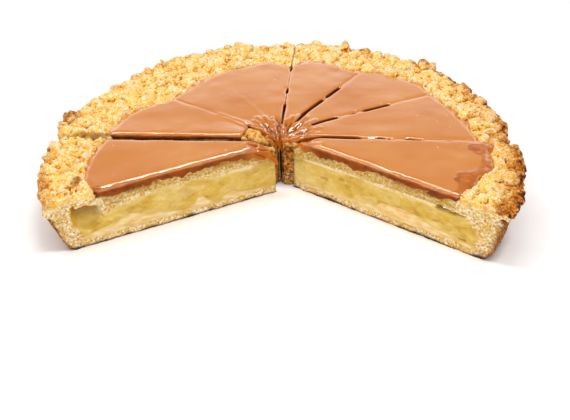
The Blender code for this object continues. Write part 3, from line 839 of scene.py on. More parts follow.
def wall_block(portion, step):
    """The wall as rows up, columns round and layers through it; its depth is 0 inside and 1 outside."""
    tree = portion.tree("crust")
    heights = np.append(np.arange(0.0, WALL_TOP - 0.4, step * 1.25), WALL_TOP - 0.4)
    right, left = portion.span_at(128.0)
    columns = max(24, int(math.radians(left - right) * 132.0 / step))
    share = np.linspace(0.0, 1.0, columns + 1)
    outer = np.zeros((len(heights), len(share)))
    read = right + (left - right) * np.clip(share, 0.01, 0.99)
    for row, height in enumerate(heights):
        level = max(height, 0.15)
        for column, azimuth in enumerate(read):
            start = Vector(portion.placed(polar(azimuth, FAR, level)))
            hit = tree.ray_cast(start, Vector(polar(azimuth + 180.0, 1.0)))[0]
            outer[row, column] = np.hypot(*(np.array(hit)[:2] / MM - PIE_AXIS[:2] - portion.shift[:2]))
    inner = along(WALL_INSIDE, heights)
    through = np.linspace(0.0, 1.0, 15)
    radii = inner[:, None, None] + (outer[..., None] - inner[:, None, None]) * through
    right, left = (side.reshape(radii.shape) for side in portion.azimuths(radii.reshape(-1)))
    azimuths = right + (left - right) * share[None, :, None]
    level = np.where(heights > WALL_TOP - 0.5, WALL_TOP, heights)
    places = polar(azimuths, radii, level[:, None, None])
    points, faces, where = block_skin(places)
    return Skin(points, faces[:, ::-1], cut_outward(points, where, len(share)), through[where[:, 2]])


# The custard's upper edge on the two open cut faces, as radius and height, and its lower edge.
CUSTARD_TOPS = {
    1: (
        (2, 4.6), (12, 5.6), (20, 5.9), (27, 6.8), (29.5, 9.2), (34.5, 8.4), (38, 5.4), (42.5, 5), (46.5, 8),
        (49, 11.4), (52, 11), (54.5, 7), (60.5, 5.4), (70.5, 7), (75, 9.6), (78.7, 12.2), (81, 10.4),
        (92, 13.1), (101, 10), (109.5, 8.4), (114.5, 7.2), (119, 6.4),
    ),
    8: (
        (2, 4.6), (14, 5.4), (28, 5.8), (38.5, 6.2), (49, 6.6), (58.5, 8.4), (62, 11.6), (74, 12.4),
        (80.5, 11.8), (87, 10.9), (93, 9), (102, 7.8), (111, 6.6), (119, 6),
    ),
}  # fmt: skip
CUSTARD_FLOOR = 3.9


def custard_top(place, portion):
    """How high the custard reaches at each place of an open cut face."""
    ripple = 0.35 * soft_noise(place, (4.0, 4.0, 30.0), 35) + 0.25 * soft_noise(place, (1.6, 1.6, 30.0), 36)
    return along(CUSTARD_TOPS[portion.number], place[:, 0]) + 0.4 + ripple


def make_custard(portion, settings, material):
    fine = portion.number in OPEN_SIDES
    step = settings.grain_size / MM * (1.0 if fine else 2.4)
    skin = layer_block("custard", portion, 0.0, CUSTARD_END, step, 5, 12 if fine else 5, 0.6, 0.05)
    place = face_place(skin, portion)
    if portion.number in OPEN_SIDES:
        floor = CUSTARD_FLOOR + 0.5 * soft_noise(place, (5.0, 5.0, 30.0), 37)
        skin.points[:, 2] = floor + skin.depth * np.maximum(custard_top(place, portion) - floor, 0.3)
    relief = 0.14 * soft_noise(place, (8.0, 8.0, 4.0), 31) + 0.07 * soft_noise(place, 1.6, 32)
    on_faces(skin, relief - 0.4 * ease(0.8, 1.0, skin.depth))
    rim = ease(0.72, 1.0, skin.depth + 0.15 * soft_noise(place, (5.0, 5.0, 2.0), 33))
    paint = painted(rim * 0.5)
    return finished("custard", skin, portion, material, paint)


# Hollows and cracks in the cut faces of the apple: slice, side, radius and height of the middle, half-sizes, depth.
HOLLOWS = (
    (1, 1, 115.3, 19, 7.2, 6.9, 2.4),
    (1, 1, 119.4, 25.2, 1.6, 2.8, 1.5),
    (1, 1, 100.5, 29.6, 7.8, 1.3, 1.8),
    (1, 1, 86, 28.4, 4, 0.8, 1),
    (1, 1, 99, 22.9, 4.2, 0.6, 0.6),
    (8, -1, 103.4, 22.2, 8.2, 0.9, 3.4),
    (8, -1, 97.4, 23, 2.4, 1.2, 2.6),
    (8, -1, 111.5, 6.9, 2.6, 1, 1.8),
    (8, -1, 36, 17.5, 2.2, 0.7, 0.8),
    (8, -1, 24, 14, 2.6, 1.2, 0.7),
    (8, -1, 12.5, 30.2, 4.6, 1.3, 1.4),
    (8, -1, 21.5, 28.8, 2.6, 1, 1.3),
    (8, -1, 92, 28, 4, 0.7, 1),
)


def side_of(skin):
    """Which cut face each point is on: 1 for the left one, -1 for the right one, 0 for neither."""
    return np.sign(np.round(skin.leaning()))


def hollowing(place, portion, side):
    """How deep the hollows are at each place of this portion's cut faces."""
    depth = np.zeros(len(place))
    warp = [soft_noise(place, 5.0, seed) + 0.6 * soft_noise(place, 2.0, seed + 1) for seed in (41, 65)]
    warp = stacked(warp[0], 0.0, warp[1])
    for number, face, radius, height, half_along, half_up, deep in HOLLOWS:
        if number == portion.number:
            soft = 0.5 if half_up > 4.0 else 0.16
            bent = place + warp * min(1.3, half_up * 0.6)
            inside = oval(bent, (radius, height), (half_along, half_up), soft)
            depth = np.maximum(depth, inside * deep * (side == face))
    return depth


# The lower edge of the crumb that has sunk into the outer end of the apple, as radius and height.
SOAKED_EDGES = {
    1: ((84, 22.4), (91, 20.6), (98, 20.2), (103, 18), (108, 15.6)),
    8: ((90, 25), (104, 24), (111.3, 21.5), (115.7, 18.7), (118.7, 14.4), (120.6, 8)),
}


def soaked_end(place, portion):
    """Where crumb from the wall has sunk into the outer end of the apple: 1 inside it."""
    known = SOAKED_EDGES[1 if portion.number == 1 else 8]
    edge, start = along(known, place[:, 0]), known[0][0]
    warp = 0.7 * soft_noise(place, 2.6, 67) + 0.5 * soft_noise(place, 1.1, 68)
    return ease(-0.9, 0.9, place[:, 2] - edge + warp) * ease(start, start + 12.0, place[:, 0])


def flake_lips(place, portion, side):
    """The pale ragged flakes of crust along the upper edges of the crack and the hollow."""
    if portion.number not in OPEN_SIDES:
        return np.zeros(len(place))
    radius, height, half_along, rise = (102.0, 24.0, 9.5, 0.8) if portion.number == 8 else (107.6, 21.0, 2.2, 2.6)
    warp = soft_noise(place, 1.8, 48) + 0.5 * soft_noise(place, 0.8, 64)
    reach = np.hypot((place[:, 0] - radius) / half_along, (place[:, 2] - height + 0.8 * warp) / rise)
    much = 0.6 if portion.number == 1 else 1.0
    return much * ease(1.15, 0.75, reach) * (side == OPEN_SIDES[portion.number])


def make_apple(portion, settings, material):
    fine = portion.number in OPEN_SIDES
    step = settings.grain_size / MM * (1.0 if fine else 2.4)
    sunk, lowest = (5.0, CUSTARD_FLOOR + 0.3) if fine else (0.25, 0.0)
    skin = layer_block("apple", portion, 0.0, APPLE_END + 1.3, step, 5, 30 if fine else 8, sunk, 0.6, lowest)
    place = face_place(skin, portion)
    side = side_of(skin)
    own = crumbs_of(place, (15.0, 15.0, 6.5), 43)[2]
    relief = 0.4 * soft_noise(place, (9.0, 9.0, 3.0), 44) + 0.15 * soft_noise(place, (5.0, 5.0, 0.9), 45)
    if fine:
        under = ease(0.3, -0.9, place[:, 2] - custard_top(place, portion))
        relief = relief * (1.0 - under) - 0.5 * under - 1.0 * ease(119.2, 121.4, place[:, 0])
    hollow = hollowing(place, portion, side)
    seep = place[:, 2] - 22.6 + 1.3 * soft_noise(place, (5.0, 5.0, 3.0), 39) + 0.8 * soft_noise(place, 1.8, 40)
    soaked = np.maximum(soaked_end(place, portion), 0.85 * ease(-0.6, 1.2, seep)) * (1.0 - np.minimum(1.0, hollow))
    relief += soaked * (0.55 - 0.7 * crumbs_of(place, 1.5, 66)[0])
    dive = 0.8 * ease(APPLE_END, 121.6, place[:, 0]) * np.minimum(1.0, hollow)
    on_faces(skin, relief * (1.0 - np.minimum(1.0, hollow)) - hollow - dive)
    wave = 0.7 * soft_noise(place, (14.0, 14.0, 30.0), 46) + 0.35 * soft_noise(place, (4.0, 4.0, 30.0), 38)
    middle, width, clear = (settings.pale_line / MM - 0.4, 0.6, -0.9) if portion.number == 8 else (21.8, 1.2, -0.2)
    line = np.exp(-(((place[:, 2] - middle - wave) / width) ** 2))
    line *= ease(clear, clear + 0.7, soft_noise(place, (7.0, 7.0, 2.0), 47)) * (1.0 - ease(92.0, 104.0, place[:, 0]))
    line *= 0.9 if portion.number == 8 else 0.7
    dry = ease(18.0, 24.0, place[:, 2]) * ease(80.0, 96.0, place[:, 0]) * 0.8
    dry = np.maximum(dry, ease(0.45, 0.8, own) * 0.35)
    line += flake_lips(place, portion, side)
    # Painted shade in the hollows and cracks: the deeper, the darker, and slice 1's big hollow darker towards its top.
    if portion.number == 1:
        deep = np.minimum(1.0, hollow) * (0.2 + 0.7 * ease(14.0, 24.5, place[:, 2]))
    else:
        deep = np.minimum(0.9, hollow * 0.4)
    dry *= 1.0 - np.minimum(1.0, hollow)
    paint = painted(np.maximum(tip_shade(portion, place[:, 0]), deep), line, dry, soaked)
    return finished("apple", skin, portion, material, paint)


# Where the crumble is toasted or scorched: azimuth, radius, reach and how much.
TOASTED = (
    (166.5, 133, 9, 1),
    (41, 134, 6, 0.9),
    (68, 131, 5, 0.6),
    (130, 124, 5, 0.5),
    (103.5, 122, 5, 0.35),
    (112, 118, 4, 0.5),
    (201.4, 115.6, 4.8, 0.8),
    (-36, 131, 6, 0.9),
    (-31, 134.5, 7, 0.7),
    (-14, 133, 9, 0.6),
    (2, 133, 9, 0.6),
    (20, 131, 8, 0.5),
    (186, 134, 6, 0.4),
    (196, 134, 7, 0.6),
)


def rim_reach(azimuth):
    return along(RIM_OUTLINE, azimuth)


def scattered(portion, count, low, high, rng, margin):
    """Places over the crumble's rim, evenly by area, and how large each lump there is."""
    right, left = portion.span_at(120.0)
    azimuth = rng.uniform(right - margin, left + margin, count)
    inner = along(CARAMEL_EDGE, azimuth) - 0.6
    size = rng.uniform(low, high, count)
    outer = (RIM_RADIUS + 0.4) * rim_reach(azimuth) - 0.55 * np.maximum(size - 1.0, 0.0)
    radius = np.sqrt(rng.uniform(inner**2, outer**2))
    return polar(azimuth, radius), size


def lobes(azimuth):
    """How far the caramel has run out past its even edge at each azimuth."""
    spots = stacked(azimuth, 0.0, 0.0)
    return np.maximum(0.0, 2.2 * soft_noise(spots, 4.2, 101) + 1.1 * soft_noise(spots, 1.9, 102) + 0.5)


def settled(points, parts):
    """The highest surface of the parts at each point."""
    corners, faces = merged(parts)
    tree = BVHTree.FromPolygons(corners.tolist(), faces.tolist())
    heights = np.full(len(points), np.nan)
    for index, (x, y, _) in enumerate(points):
        hit = tree.ray_cast(Vector((x, y, 99.0)), Vector((0.0, 0.0, -1.0)))[0]
        if hit is not None:
            heights[index] = hit.z
    return heights


# How far crumbs spread past each cut face, and the cuts that the crumble's core has closed as well.
SPREADS = {204.2: 0.6, 175.4: 1.2, 143.9: 0.8, 114.0: 0.5, 84.0: 0.1, 54.0: 0.8, 24.0: 0.8, -6.6: 0.8, -36.8: 0.6}
MENDED_CUTS = (143.9, 114.0, 54.0, 24.0, -6.6)


def kept_between_cuts(points, portion):
    """Points pushed back to the cut faces, or as far past them as crumbs spread there."""
    radii = np.maximum(radius_of(points), portion.tip_radius + 0.2)
    right, left = portion.azimuths(radii)
    slack = [np.degrees(SPREADS[cut] / radii) for cut in portion.cuts]
    azimuths = np.clip(azimuth_of(points), right - slack[0], left + slack[1])
    return polar(azimuths, radii, points[:, 2])


def from_cuts(points, portion):
    """How far each point is inside the right and the left cut face."""
    radii = np.maximum(radius_of(points), portion.tip_radius + 0.1)
    right, left = portion.azimuths(radii)
    azimuth = azimuth_of(points)
    return np.radians(azimuth - right) * radii, np.radians(left - azimuth) * radii


def crumble_core(portion):
    """The rim of the crumble's solid, spread at the closed cuts and set down on the wall."""
    corners, faces = portion.solid("crumble")
    inside = from_cuts(corners, portion)
    turn = np.zeros(len(corners))
    for gap, cut, way in zip(inside, portion.cuts, (-1.0, 1.0)):
        turn += np.where(gap < 0.05, way * SPREADS[cut], 0.0) * (cut in MENDED_CUTS)
    radii = np.maximum(radius_of(corners), portion.rim_start)
    azimuths = azimuth_of(corners) + np.degrees(turn / radii)
    sunk = np.where((radii > APPLE_END - 2.0) & (corners[:, 2] < 29.6), 0.5, 0.0)
    return polar(azimuths, radii, corners[:, 2] - sunk), faces


# The sizes of crumbs: how many on a slice, smallest and largest radius, how far sunk, and fineness.
CRUMB_SIZES = ((20, 2.8, 4.2, 0.8, 2), (160, 1.2, 2.1, 0.5, 2), (3000, 0.45, 0.85, 0.1, 1))
# How many crumbs lie along the outermost edge of a slice, in a clump, and on slice 7's tip beside the gap.
OUTERMOST = 260
IN_CLUMP = 26
BESIDE_GAP = 150

# Toasted clumps that stand up out of the rim: slice, azimuth, radius, height and size.
CLUMPS = (
    (2, 168, 132.6, 33.4, 3.4),
    (2, 171.5, 132.4, 33.2, 3),
    (2, 164, 131, 31.2, 2.8),
    (6, 38.2, 132.8, 36.4, 2.7),
    (6, 39.8, 131.6, 34.8, 2.6),
    (5, 68, 130.6, 36.2, 2.6),
    (3, 130, 124, 35.6, 3.2),
    (1, 201.4, 115.6, 35, 4.2),
    (8, -33, 131, 30.6, 2.6),
)


def clods(points):
    """How high each point is on the large clumps, from about -1 to 1."""
    warp = stacked(*(soft_noise(points, 3.0, seed) for seed in (86, 87, 88)))
    return 1.0 - 1.4 * crumbs_of(points + 1.6 * warp, 6.5, 52)[0] + 0.8 * soft_noise(points, 5.0, 89)


def crumble_rim(portion, settings):
    """The rim of the crumble: crumbs of every size, fused over the rim of its solid."""
    rng = np.random.default_rng(settings.seed + portion.number)
    parts = [crumble_core(portion)]
    for count, low, high, sunk, detail in CRUMB_SIZES:
        places, sizes = scattered(portion, count, low, high, rng, 0.3)
        heights = settled(places, parts)
        missed = np.isnan(heights)
        places[:, 2] = np.where(missed, rng.uniform(29.4, 32.0, count), heights - sunk * sizes)
        fit = ~missed | (radius_of(places) < RIM_RADIUS * rim_reach(azimuth_of(places)))
        parts.append(lumps(places[fit], sizes[fit], rng, 0.2, detail))
    azimuths = rng.uniform(*portion.span_at(136.0), OUTERMOST)
    radii = rng.uniform(134.6, 136.4, OUTERMOST) * rim_reach(azimuths)
    places = polar(azimuths, radii, rng.uniform(28.4, 32.0, OUTERMOST))
    parts.append(lumps(places, rng.uniform(0.6, 1.5, OUTERMOST), rng, 0.2, 1))
    parts += extra_crumbs(portion, rng)
    for _, azimuth, radius, height, size in (clump for clump in CLUMPS if clump[0] == portion.number):
        heap = polar(azimuth, radius, height) + rng.normal(0.0, size * 0.42, (IN_CLUMP, 3))
        parts.append(lumps(heap, rng.uniform(0.22, 0.5, IN_CLUMP) * size, rng, 0.2, 2))
    parts = [parts[0]] + [(kept_between_cuts(points, portion), shape) for points, shape in parts[1:]]
    if portion.number == 7:
        radii = rng.uniform(2.5, 8.6, BESIDE_GAP)
        places = polar(portion.azimuths(radii)[0], radii, rng.uniform(0.8, 29.4, BESIDE_GAP))
        parts.append(lumps(places, rng.uniform(0.5, 1.2, BESIDE_GAP), rng, 0.25, 1))
    voxel = settings.voxel / MM * (1.0 if portion.number in FINE else 1.16) * 1.0
    rim = fused(parts, voxel)
    normals = rim.normals()
    faced = np.minimum(*from_cuts(rim.points, portion)) < 0.35
    grit = 0.5 * (0.5 - crumbs_of(rim.points, 2.0, 51)[0]) + 0.45 * (0.55 - crumbs_of(rim.points, 1.0, 50)[0])
    grit += 0.8 * clods(rim.points)
    rim.points = rim.points + normals * (grit * np.where(faced, 0.45, 1.0))[:, None]
    shore = along(CARAMEL_EDGE, azimuth_of(rim.points)) + lobes(azimuth_of(rim.points))
    dip = ease(0.9, -0.5, radius_of(rim.points) - shore) * np.maximum(0.0, rim.points[:, 2] - 33.0)
    rim.points[:, 2] -= dip
    return rim


def crumble_bed(portion):
    """The crumble under the caramel, and how open or hollow it is at each point."""
    step, rows = (0.7, 14) if portion.number in OPEN_SIDES else (2.0, 4)
    bed = layer_block("crumble", portion, 0.0, portion.rim_start + 3.0, step, 5, rows, 0.2, 0.2)
    place = face_place(bed, portion)
    pit = crumbs_of(place, 2.4, 53)[0]
    open_crumb = ease(-0.1, 0.35, soft_noise(place, (13.0, 13.0, 6.0), 54)) * ease(25.5, 29.5, place[:, 2])
    relief = 0.4 * soft_noise(place, 2.6, 55) + 0.35 * (0.5 - crumbs_of(place, 1.3, 56)[0])
    hollow = hollowing(place, portion, side_of(bed))
    on_faces(bed, relief - 1.3 * open_crumb * ease(0.15, 0.6, pit) - hollow)
    return bed, np.maximum(open_crumb * ease(0.2, 0.55, pit), np.minimum(1.0, hollow))


def crumble_paint(skin, portion, under):
    """The channels of the crumble's material, with painted shade and highlight in them; under says where a point lies
    deep in the cut face, where it is painted darker.
    """
    points = skin.points
    radius, azimuth = radius_of(points), azimuth_of(points)
    right_gap, left_gap = from_cuts(points, portion)
    under_caramel = ease(1.0, -1.0, radius - along(CARAMEL_EDGE, azimuth))
    ragged = 30.4 + 2.0 * soft_noise(points, 6.0, 49) + 1.2 * soft_noise(points, 2.2, 69) + 9.0 * under_caramel
    low = ease(0.4, -0.4, points[:, 2] - ragged)
    cut = (1.0 - ease(0.5, 1.0, right_gap)) * (portion.number in (8, 4))
    cut = np.maximum(cut, (1.0 - ease(0.5, 1.0, left_gap)) * (portion.number in (1, 5))) * low
    standing = skin.standing(7)
    clod = clods(points)
    # Painted shade in the creases between the crumbs.
    crease_shade = ease(-0.03, -0.3 if portion.number in FINE else -0.2, standing) * (0.65 + 0.35 * ease(0.2, -0.6, clod))
    peak = ease(0.15, 0.7, standing)
    patch = soft_noise(points, 8.0, 57) + 0.6 * soft_noise(points, 2.6, 58)
    tone = crumbs_of(points, 3.0, 59)[2]
    share = rim_reach(azimuth)
    outermost = ease(128.0, 136.5, radius / share + 2.0 * soft_noise(points, 6.0, 60))
    right_side = 1.0 - ease(30.0, 110.0, azimuth)
    low_right = 1.0 - ease(-8.0, 50.0, azimuth)
    # Toasting, with some painted shade in the creases.
    toast_and_shade = 0.12 * crease_shade + 0.3 * ease(0.4, 1.1, patch) + 0.35 * ease(0.78, 0.95, tone)
    toast_and_shade += outermost * (0.3 + 0.3 * right_side)
    toast_and_shade += 0.3 * outermost * ease(172.0, 182.0, azimuth)
    toast_and_shade += right_side * (0.04 + 0.08 * peak) + 0.4 * low_right * ease(119.0, 131.0, radius / share)
    scorch_and_shade = ease(130.5, 137.5, radius / share + 2.5 * soft_noise(points, 4.0, 61))
    spotted = ease(-0.1 - 0.3 * low_right, 0.45, soft_noise(points, 1.8, 62))
    scorch_and_shade *= spotted * (0.3 + 0.45 * right_side + 0.45 * low_right)
    # Painted shade: scorched colour in the deep creases, most on the right.
    scorch_and_shade = np.maximum(scorch_and_shade, (0.15 * right_side + 0.5 * low_right) * ease(-0.12, -0.42, standing))
    bare = (radius < 26.0) * (portion.number in (2, 3))
    # Bare crumble at the middle: toasted, with painted shade in its creases.
    toast_and_shade += bare * (0.4 + 0.5 * crease_shade)
    scorch_and_shade = np.maximum(scorch_and_shade, bare * 0.8 * ease(-0.1, -0.5, standing))
    for place_azimuth, place_radius, reach, much in TOASTED:
        close = 1.0 - ease(0.3, 1.0, level_distance(points, place_azimuth, place_radius) / reach)
        toast_and_shade += close * much
        scorch_and_shade = np.maximum(scorch_and_shade, close * (much - 0.45) * (0.7 + 0.6 * soft_noise(points, 2.0, 63)))
    near_caramel = ease(2.2, 0.2, np.abs(radius - along(CARAMEL_EDGE, azimuth) - 1.0))
    toast_and_shade += 0.6 * near_caramel * ease(0.0, 0.5, soft_noise(points, 4.0, 70))
    toast_and_shade = np.where(cut > 0.5, 0.2 * ease(0.5, 1.0, patch), toast_and_shade)
    tip = tip_shade(portion, radius)
    # Darker where under says and towards the tips: painted shade in the hollows, the slot under the caramel and between
    # the tips, and toasting in the open pits under the caramel.
    toast_and_shade = np.maximum(toast_and_shade, np.maximum(under * 0.9, tip))
    patchy = 0.15 + 0.6 * ease(-0.1, 0.5, soft_noise(points, 1.5, 98))
    scorch_and_shade = np.maximum(scorch_and_shade * (1.0 - cut), np.maximum(under * 0.45, tip * patchy))
    # Painted highlight on the tops of the crumbs.
    crest_highlight = ease(0.02, 0.34, standing) * (0.5 + 0.5 * ease(-0.5, 0.6, clod)) * (1.0 - 0.7 * bare)
    # Alpha: low for painted shade in creases, high for painted highlight on tops and for the paler outer crumb of the
    # cut face.
    level = 0.5 + 0.5 * crest_highlight * (1.0 - cut) - 0.5 * crease_shade * (0.95 - 0.4 * cut)
    level += 0.5 * cut * ease(100.0, 108.0, radius)
    return painted(toast_and_shade, cut * (1.0 - under), scorch_and_shade, level)


def make_crumble(portion, settings, material):
    """The bed under the caramel, and the rim of crumbs round it."""
    rim = crumble_rim(portion, settings)
    pressed = pressed_in(rim, portion)
    bed, opened = crumble_bed(portion)
    skin = joined([rim, bed])
    paint = crumble_paint(skin, portion, np.concatenate([pressed, opened]))
    return finished("crumble", skin, portion, material, paint)


def pressed_in(rim, portion):
    """Sinks the rim's own open cut face into the hollows there; returns how much each point is painted darker for it,
    as shade in the slot under the caramel.
    """
    side = OPEN_SIDES.get(portion.number)
    if side is None:
        return np.zeros(len(rim.points))
    gap = from_cuts(rim.points, portion)[1 if side > 0.0 else 0]
    place = open_face_place(rim.points, portion)
    hollow = hollowing(place, portion, side) * ease(1.6, 0.6, gap)
    rim.points = rim.points - anticlockwise(rim.points) * (side * hollow)[:, None]
    return np.minimum(1.0, hollow) * (place[:, 2] > 27.4) * (place[:, 0] < 109.0)


def extra_crumbs(portion, rng):
    """Crumbs that lie bare at the middle: down the slices' tips, and where the caramel has drawn back."""
    if portion.number == 1:
        return [strewn(rng, 26, (178.0, 202.0), (2.6, 6.2), (15.0, 30.0), (0.7, 1.3))]
    if portion.number == 8:
        return [strewn(rng, 40, (-35.0, -10.0), (2.6, 20.0), (27.0, 30.4), (0.6, 1.2))]
    right, left = portion.span_at(18.0)
    made = [strewn(rng, 60, (right, left), (1.2, 4.0), (1.5, 27.0), (0.6, 1.2))]
    if portion.number in (2, 3):
        count, right = (90, right) if portion.number == 2 else (24, left - 8.0)
        radii = rng.uniform(4.0, 23.0, count)
        depth = crater(radii, (left + right) / 2.0)
        places = polar(rng.uniform(right, left, count), radii, 30.6 - depth + rng.uniform(-0.4, 1.6, count))
        made.append(lumps(places, rng.uniform(0.8, 2.0, count), rng, 0.25, 2))
    return made


def tip_shade(portion, radius):
    """How much darker a slice is painted towards its tip: painted shade deep between the slices at the middle."""
    if portion.number in OPEN_SIDES:
        return np.zeros(len(radius))
    return ease(10.5, 8.0, radius) if portion.number == 7 else ease(14.0, 5.0, radius)


def crater(radius, azimuth):
    """How far the top has sunk at this place near the middle, as in the solids."""
    share = ease(0.0, 1.0, (azimuth - KNIFE_CUTS[-1]) / (KNIFE_CUTS[0] - KNIFE_CUTS[-1]) * 4.0 - 3.0)
    depth = CRATER_DEPTH + (CRATER_DEPTH_AT_LEFT_CUT - CRATER_DEPTH) * share
    return depth * np.maximum(0.0, 1.0 - radius / CRATER_RADIUS)


# How far each cut in the caramel has closed again, as radius and closure from 0, open, to 1, healed.
CLOSURES = {
    175.4: ((0, 0),),
    143.9: ((22, 0), (30, 0.8), (60, 0.9)),
    114.0: ((0, 0.3), (14, 0.6), (24, 1)),
    84.0: ((38, 0), (41, 0.95), (52, 0.95), (54, 0), (59, 0), (62, 0.95), (84, 0.95), (87, 0)),
    54.0: ((50, 0), (53, 0.5), (57, 0), (70, 0), (73, 0.9)),
    24.0: (
        (0, 0.3), (19, 0.2), (22, 0), (40, 0), (43, 0.9), (47, 0.5), (52, 0.2), (55, 0.7), (60, 0), (76, 0), (80, 0.9),
    ),
    -6.6: ((44, 0), (50, 0.5), (58, 0.1), (66, 0.6), (74, 0.1), (84, 0.5), (90, 0.9), (130, 0.95)),
}  # fmt: skip

# The cuts inside the right-hand pool that stand open in places, and how far the caramel has drawn back there.
OPEN_CUTS = {54.0: 0.45, 24.0: 0.45, -6.6: 0.25}
DRAWN_BACK = 0.9
# How far from the middle slice 2 is bare of caramel, and where its lips and its skirt start.
BARE_TO = 22.0
LIPS_FROM = 24.0


def drawn_back(corners, portion):
    """The corners of the caramel's solid, drawn back from the cuts that stand open, so that only the lips meet."""
    turn = np.zeros(len(corners))
    for gap, cut, way in zip(from_cuts(corners, portion), portion.cuts, (1.0, -1.0)):
        turn += np.where((gap < 0.05) & (radius_of(corners) > 16.0), way * DRAWN_BACK, 0.0) * (cut in OPEN_CUTS)
    radii = np.maximum(radius_of(corners), 1.0)
    return polar(azimuth_of(corners) + np.degrees(turn / radii), radius_of(corners), corners[:, 2])


def in_open_cuts(points, numbers):
    """1 in the cuts that stand open between the slices of a pool, and 0 elsewhere."""
    inside = np.zeros(len(points))
    for upper, lower in zip(numbers, numbers[1:]):
        home, first, second = portions[numbers[0]], portions[upper], portions[lower]
        past_upper = from_cuts(points + home.shift - first.shift, first)[0]
        past_lower = from_cuts(points + home.shift - second.shift, second)[1]
        near = ease(1.4, 0.9, np.maximum(past_upper, past_lower))
        opened = ease(0.4, 0.1, along(CLOSURES[KNIFE_CUTS[upper]], radius_of(points)))
        inside = np.maximum(inside, near * opened)
    return inside * ease(20.0, 27.0, radius_of(points))


def lip_beads(portion, settings):
    """The rounded lips along both cut faces, which meet their neighbours' where the cut has closed."""
    made = []
    for side, azimuth in enumerate(portion.cuts):
        end = float(along(CARAMEL_EDGE, azimuth)) - 2.0
        radii = np.arange(10.0 if portion.number != 2 else LIPS_FROM, end, 0.8)
        azimuths = portion.azimuths(radii)[side]
        seeds = stacked(radii, azimuth, 0.0)
        front = (portion.number, side) in ((1, 1), (8, 0), (2, 1))
        size = 1.55 + 0.22 * soft_noise(seeds, 6.0, 71 + side) + 0.12 * soft_noise(seeds, 2.4, 73 + side) + 0.7 * front
        if front:
            past = 0.75 + 0.35 * soft_noise(seeds, 7.0, 75)
        else:
            closure = along(CLOSURES[azimuth], radii)
            past = 0.05 + 0.2 * soft_noise(seeds, 5.0, 76) + closure * (1.5 if azimuth == -6.6 else 0.95)
            past -= OPEN_CUTS.get(azimuth, 0.0) * ease(0.4, 0.0, closure)
        inward = -1.0 if side else 1.0
        turn = np.degrees((size - past) / radii) * inward
        top = CARAMEL_TOP - crater(radii, azimuths) + 0.1 + 0.15 * soft_noise(seeds, 9.0, 77 + side)
        top += front * (0.25 * soft_noise(seeds, 5.0, 79) - 0.1)
        places = polar(azimuths + turn, radii, top - size)
        made.append(beads(places, stacked(size, size, size)))
    return made


# How far the caramel has run down the open cut faces: by slice and side.
SKIRTS = {(1, 1): 3.2, (8, 0): 3.2, (2, 1): 1.7}


def skirt_beads(portion, side):
    """The caramel that has run down an open cut face: flat beads from the lip to a wavy lower edge."""
    azimuth = portion.cuts[side]
    end = float(along(CARAMEL_EDGE, azimuth)) - 1.0
    radii = np.arange(9.0 if portion.number in OPEN_SIDES else LIPS_FROM, end, 0.7)
    azimuths = portion.azimuths(radii)[side]
    seeds = stacked(radii, azimuth, 0.0)
    reach = SKIRTS[portion.number, side] + 0.9 * soft_noise(seeds, 12.0, 81) + 0.6 * soft_noise(seeds, 4.0, 82)
    reach += 0.45 * soft_noise(seeds, 1.4, 83)
    reach *= 0.75 + 0.25 * ease(end, end - 12.0, radii)
    top = CARAMEL_TOP - crater(radii, azimuths)
    outward = 1.0 if side else -1.0
    places = polar(azimuths, radii, top - 0.6 - reach) + polar(azimuths + 90.0, 0.15 * outward)
    along_face, out = polar(azimuths, 1.0), polar(azimuths + 90.0, 1.0)
    ways = np.stack([along_face, out, np.broadcast_to((0.0, 0.0, 1.0), out.shape)], axis=1)
    return beads(places, stacked(1.2, 0.85, reach), ways)


def edge_beads(portion, rng):
    """Small lobes where the caramel has run in between the crumbs."""
    right, left = portion.span_at(100.0)
    azimuths = np.arange(right + 0.8, left - 0.8, 1.0)
    count = len(azimuths)
    size = rng.uniform(0.9, 2.2, count) + 2.0 * (rng.uniform(0.0, 1.0, count) > 0.78)
    size = size + 0.45 * lobes(azimuths)
    radii = along(CARAMEL_EDGE, azimuths) + lobes(azimuths) - size * 0.85 + rng.uniform(-0.5, 0.5, count)
    height = rng.uniform(0.9, 1.5, count)
    top = CARAMEL_TOP - 0.1 - rng.uniform(0.0, 0.9, count)
    places = polar(azimuths, radii, top - height)
    return beads(places, stacked(size, size, height))


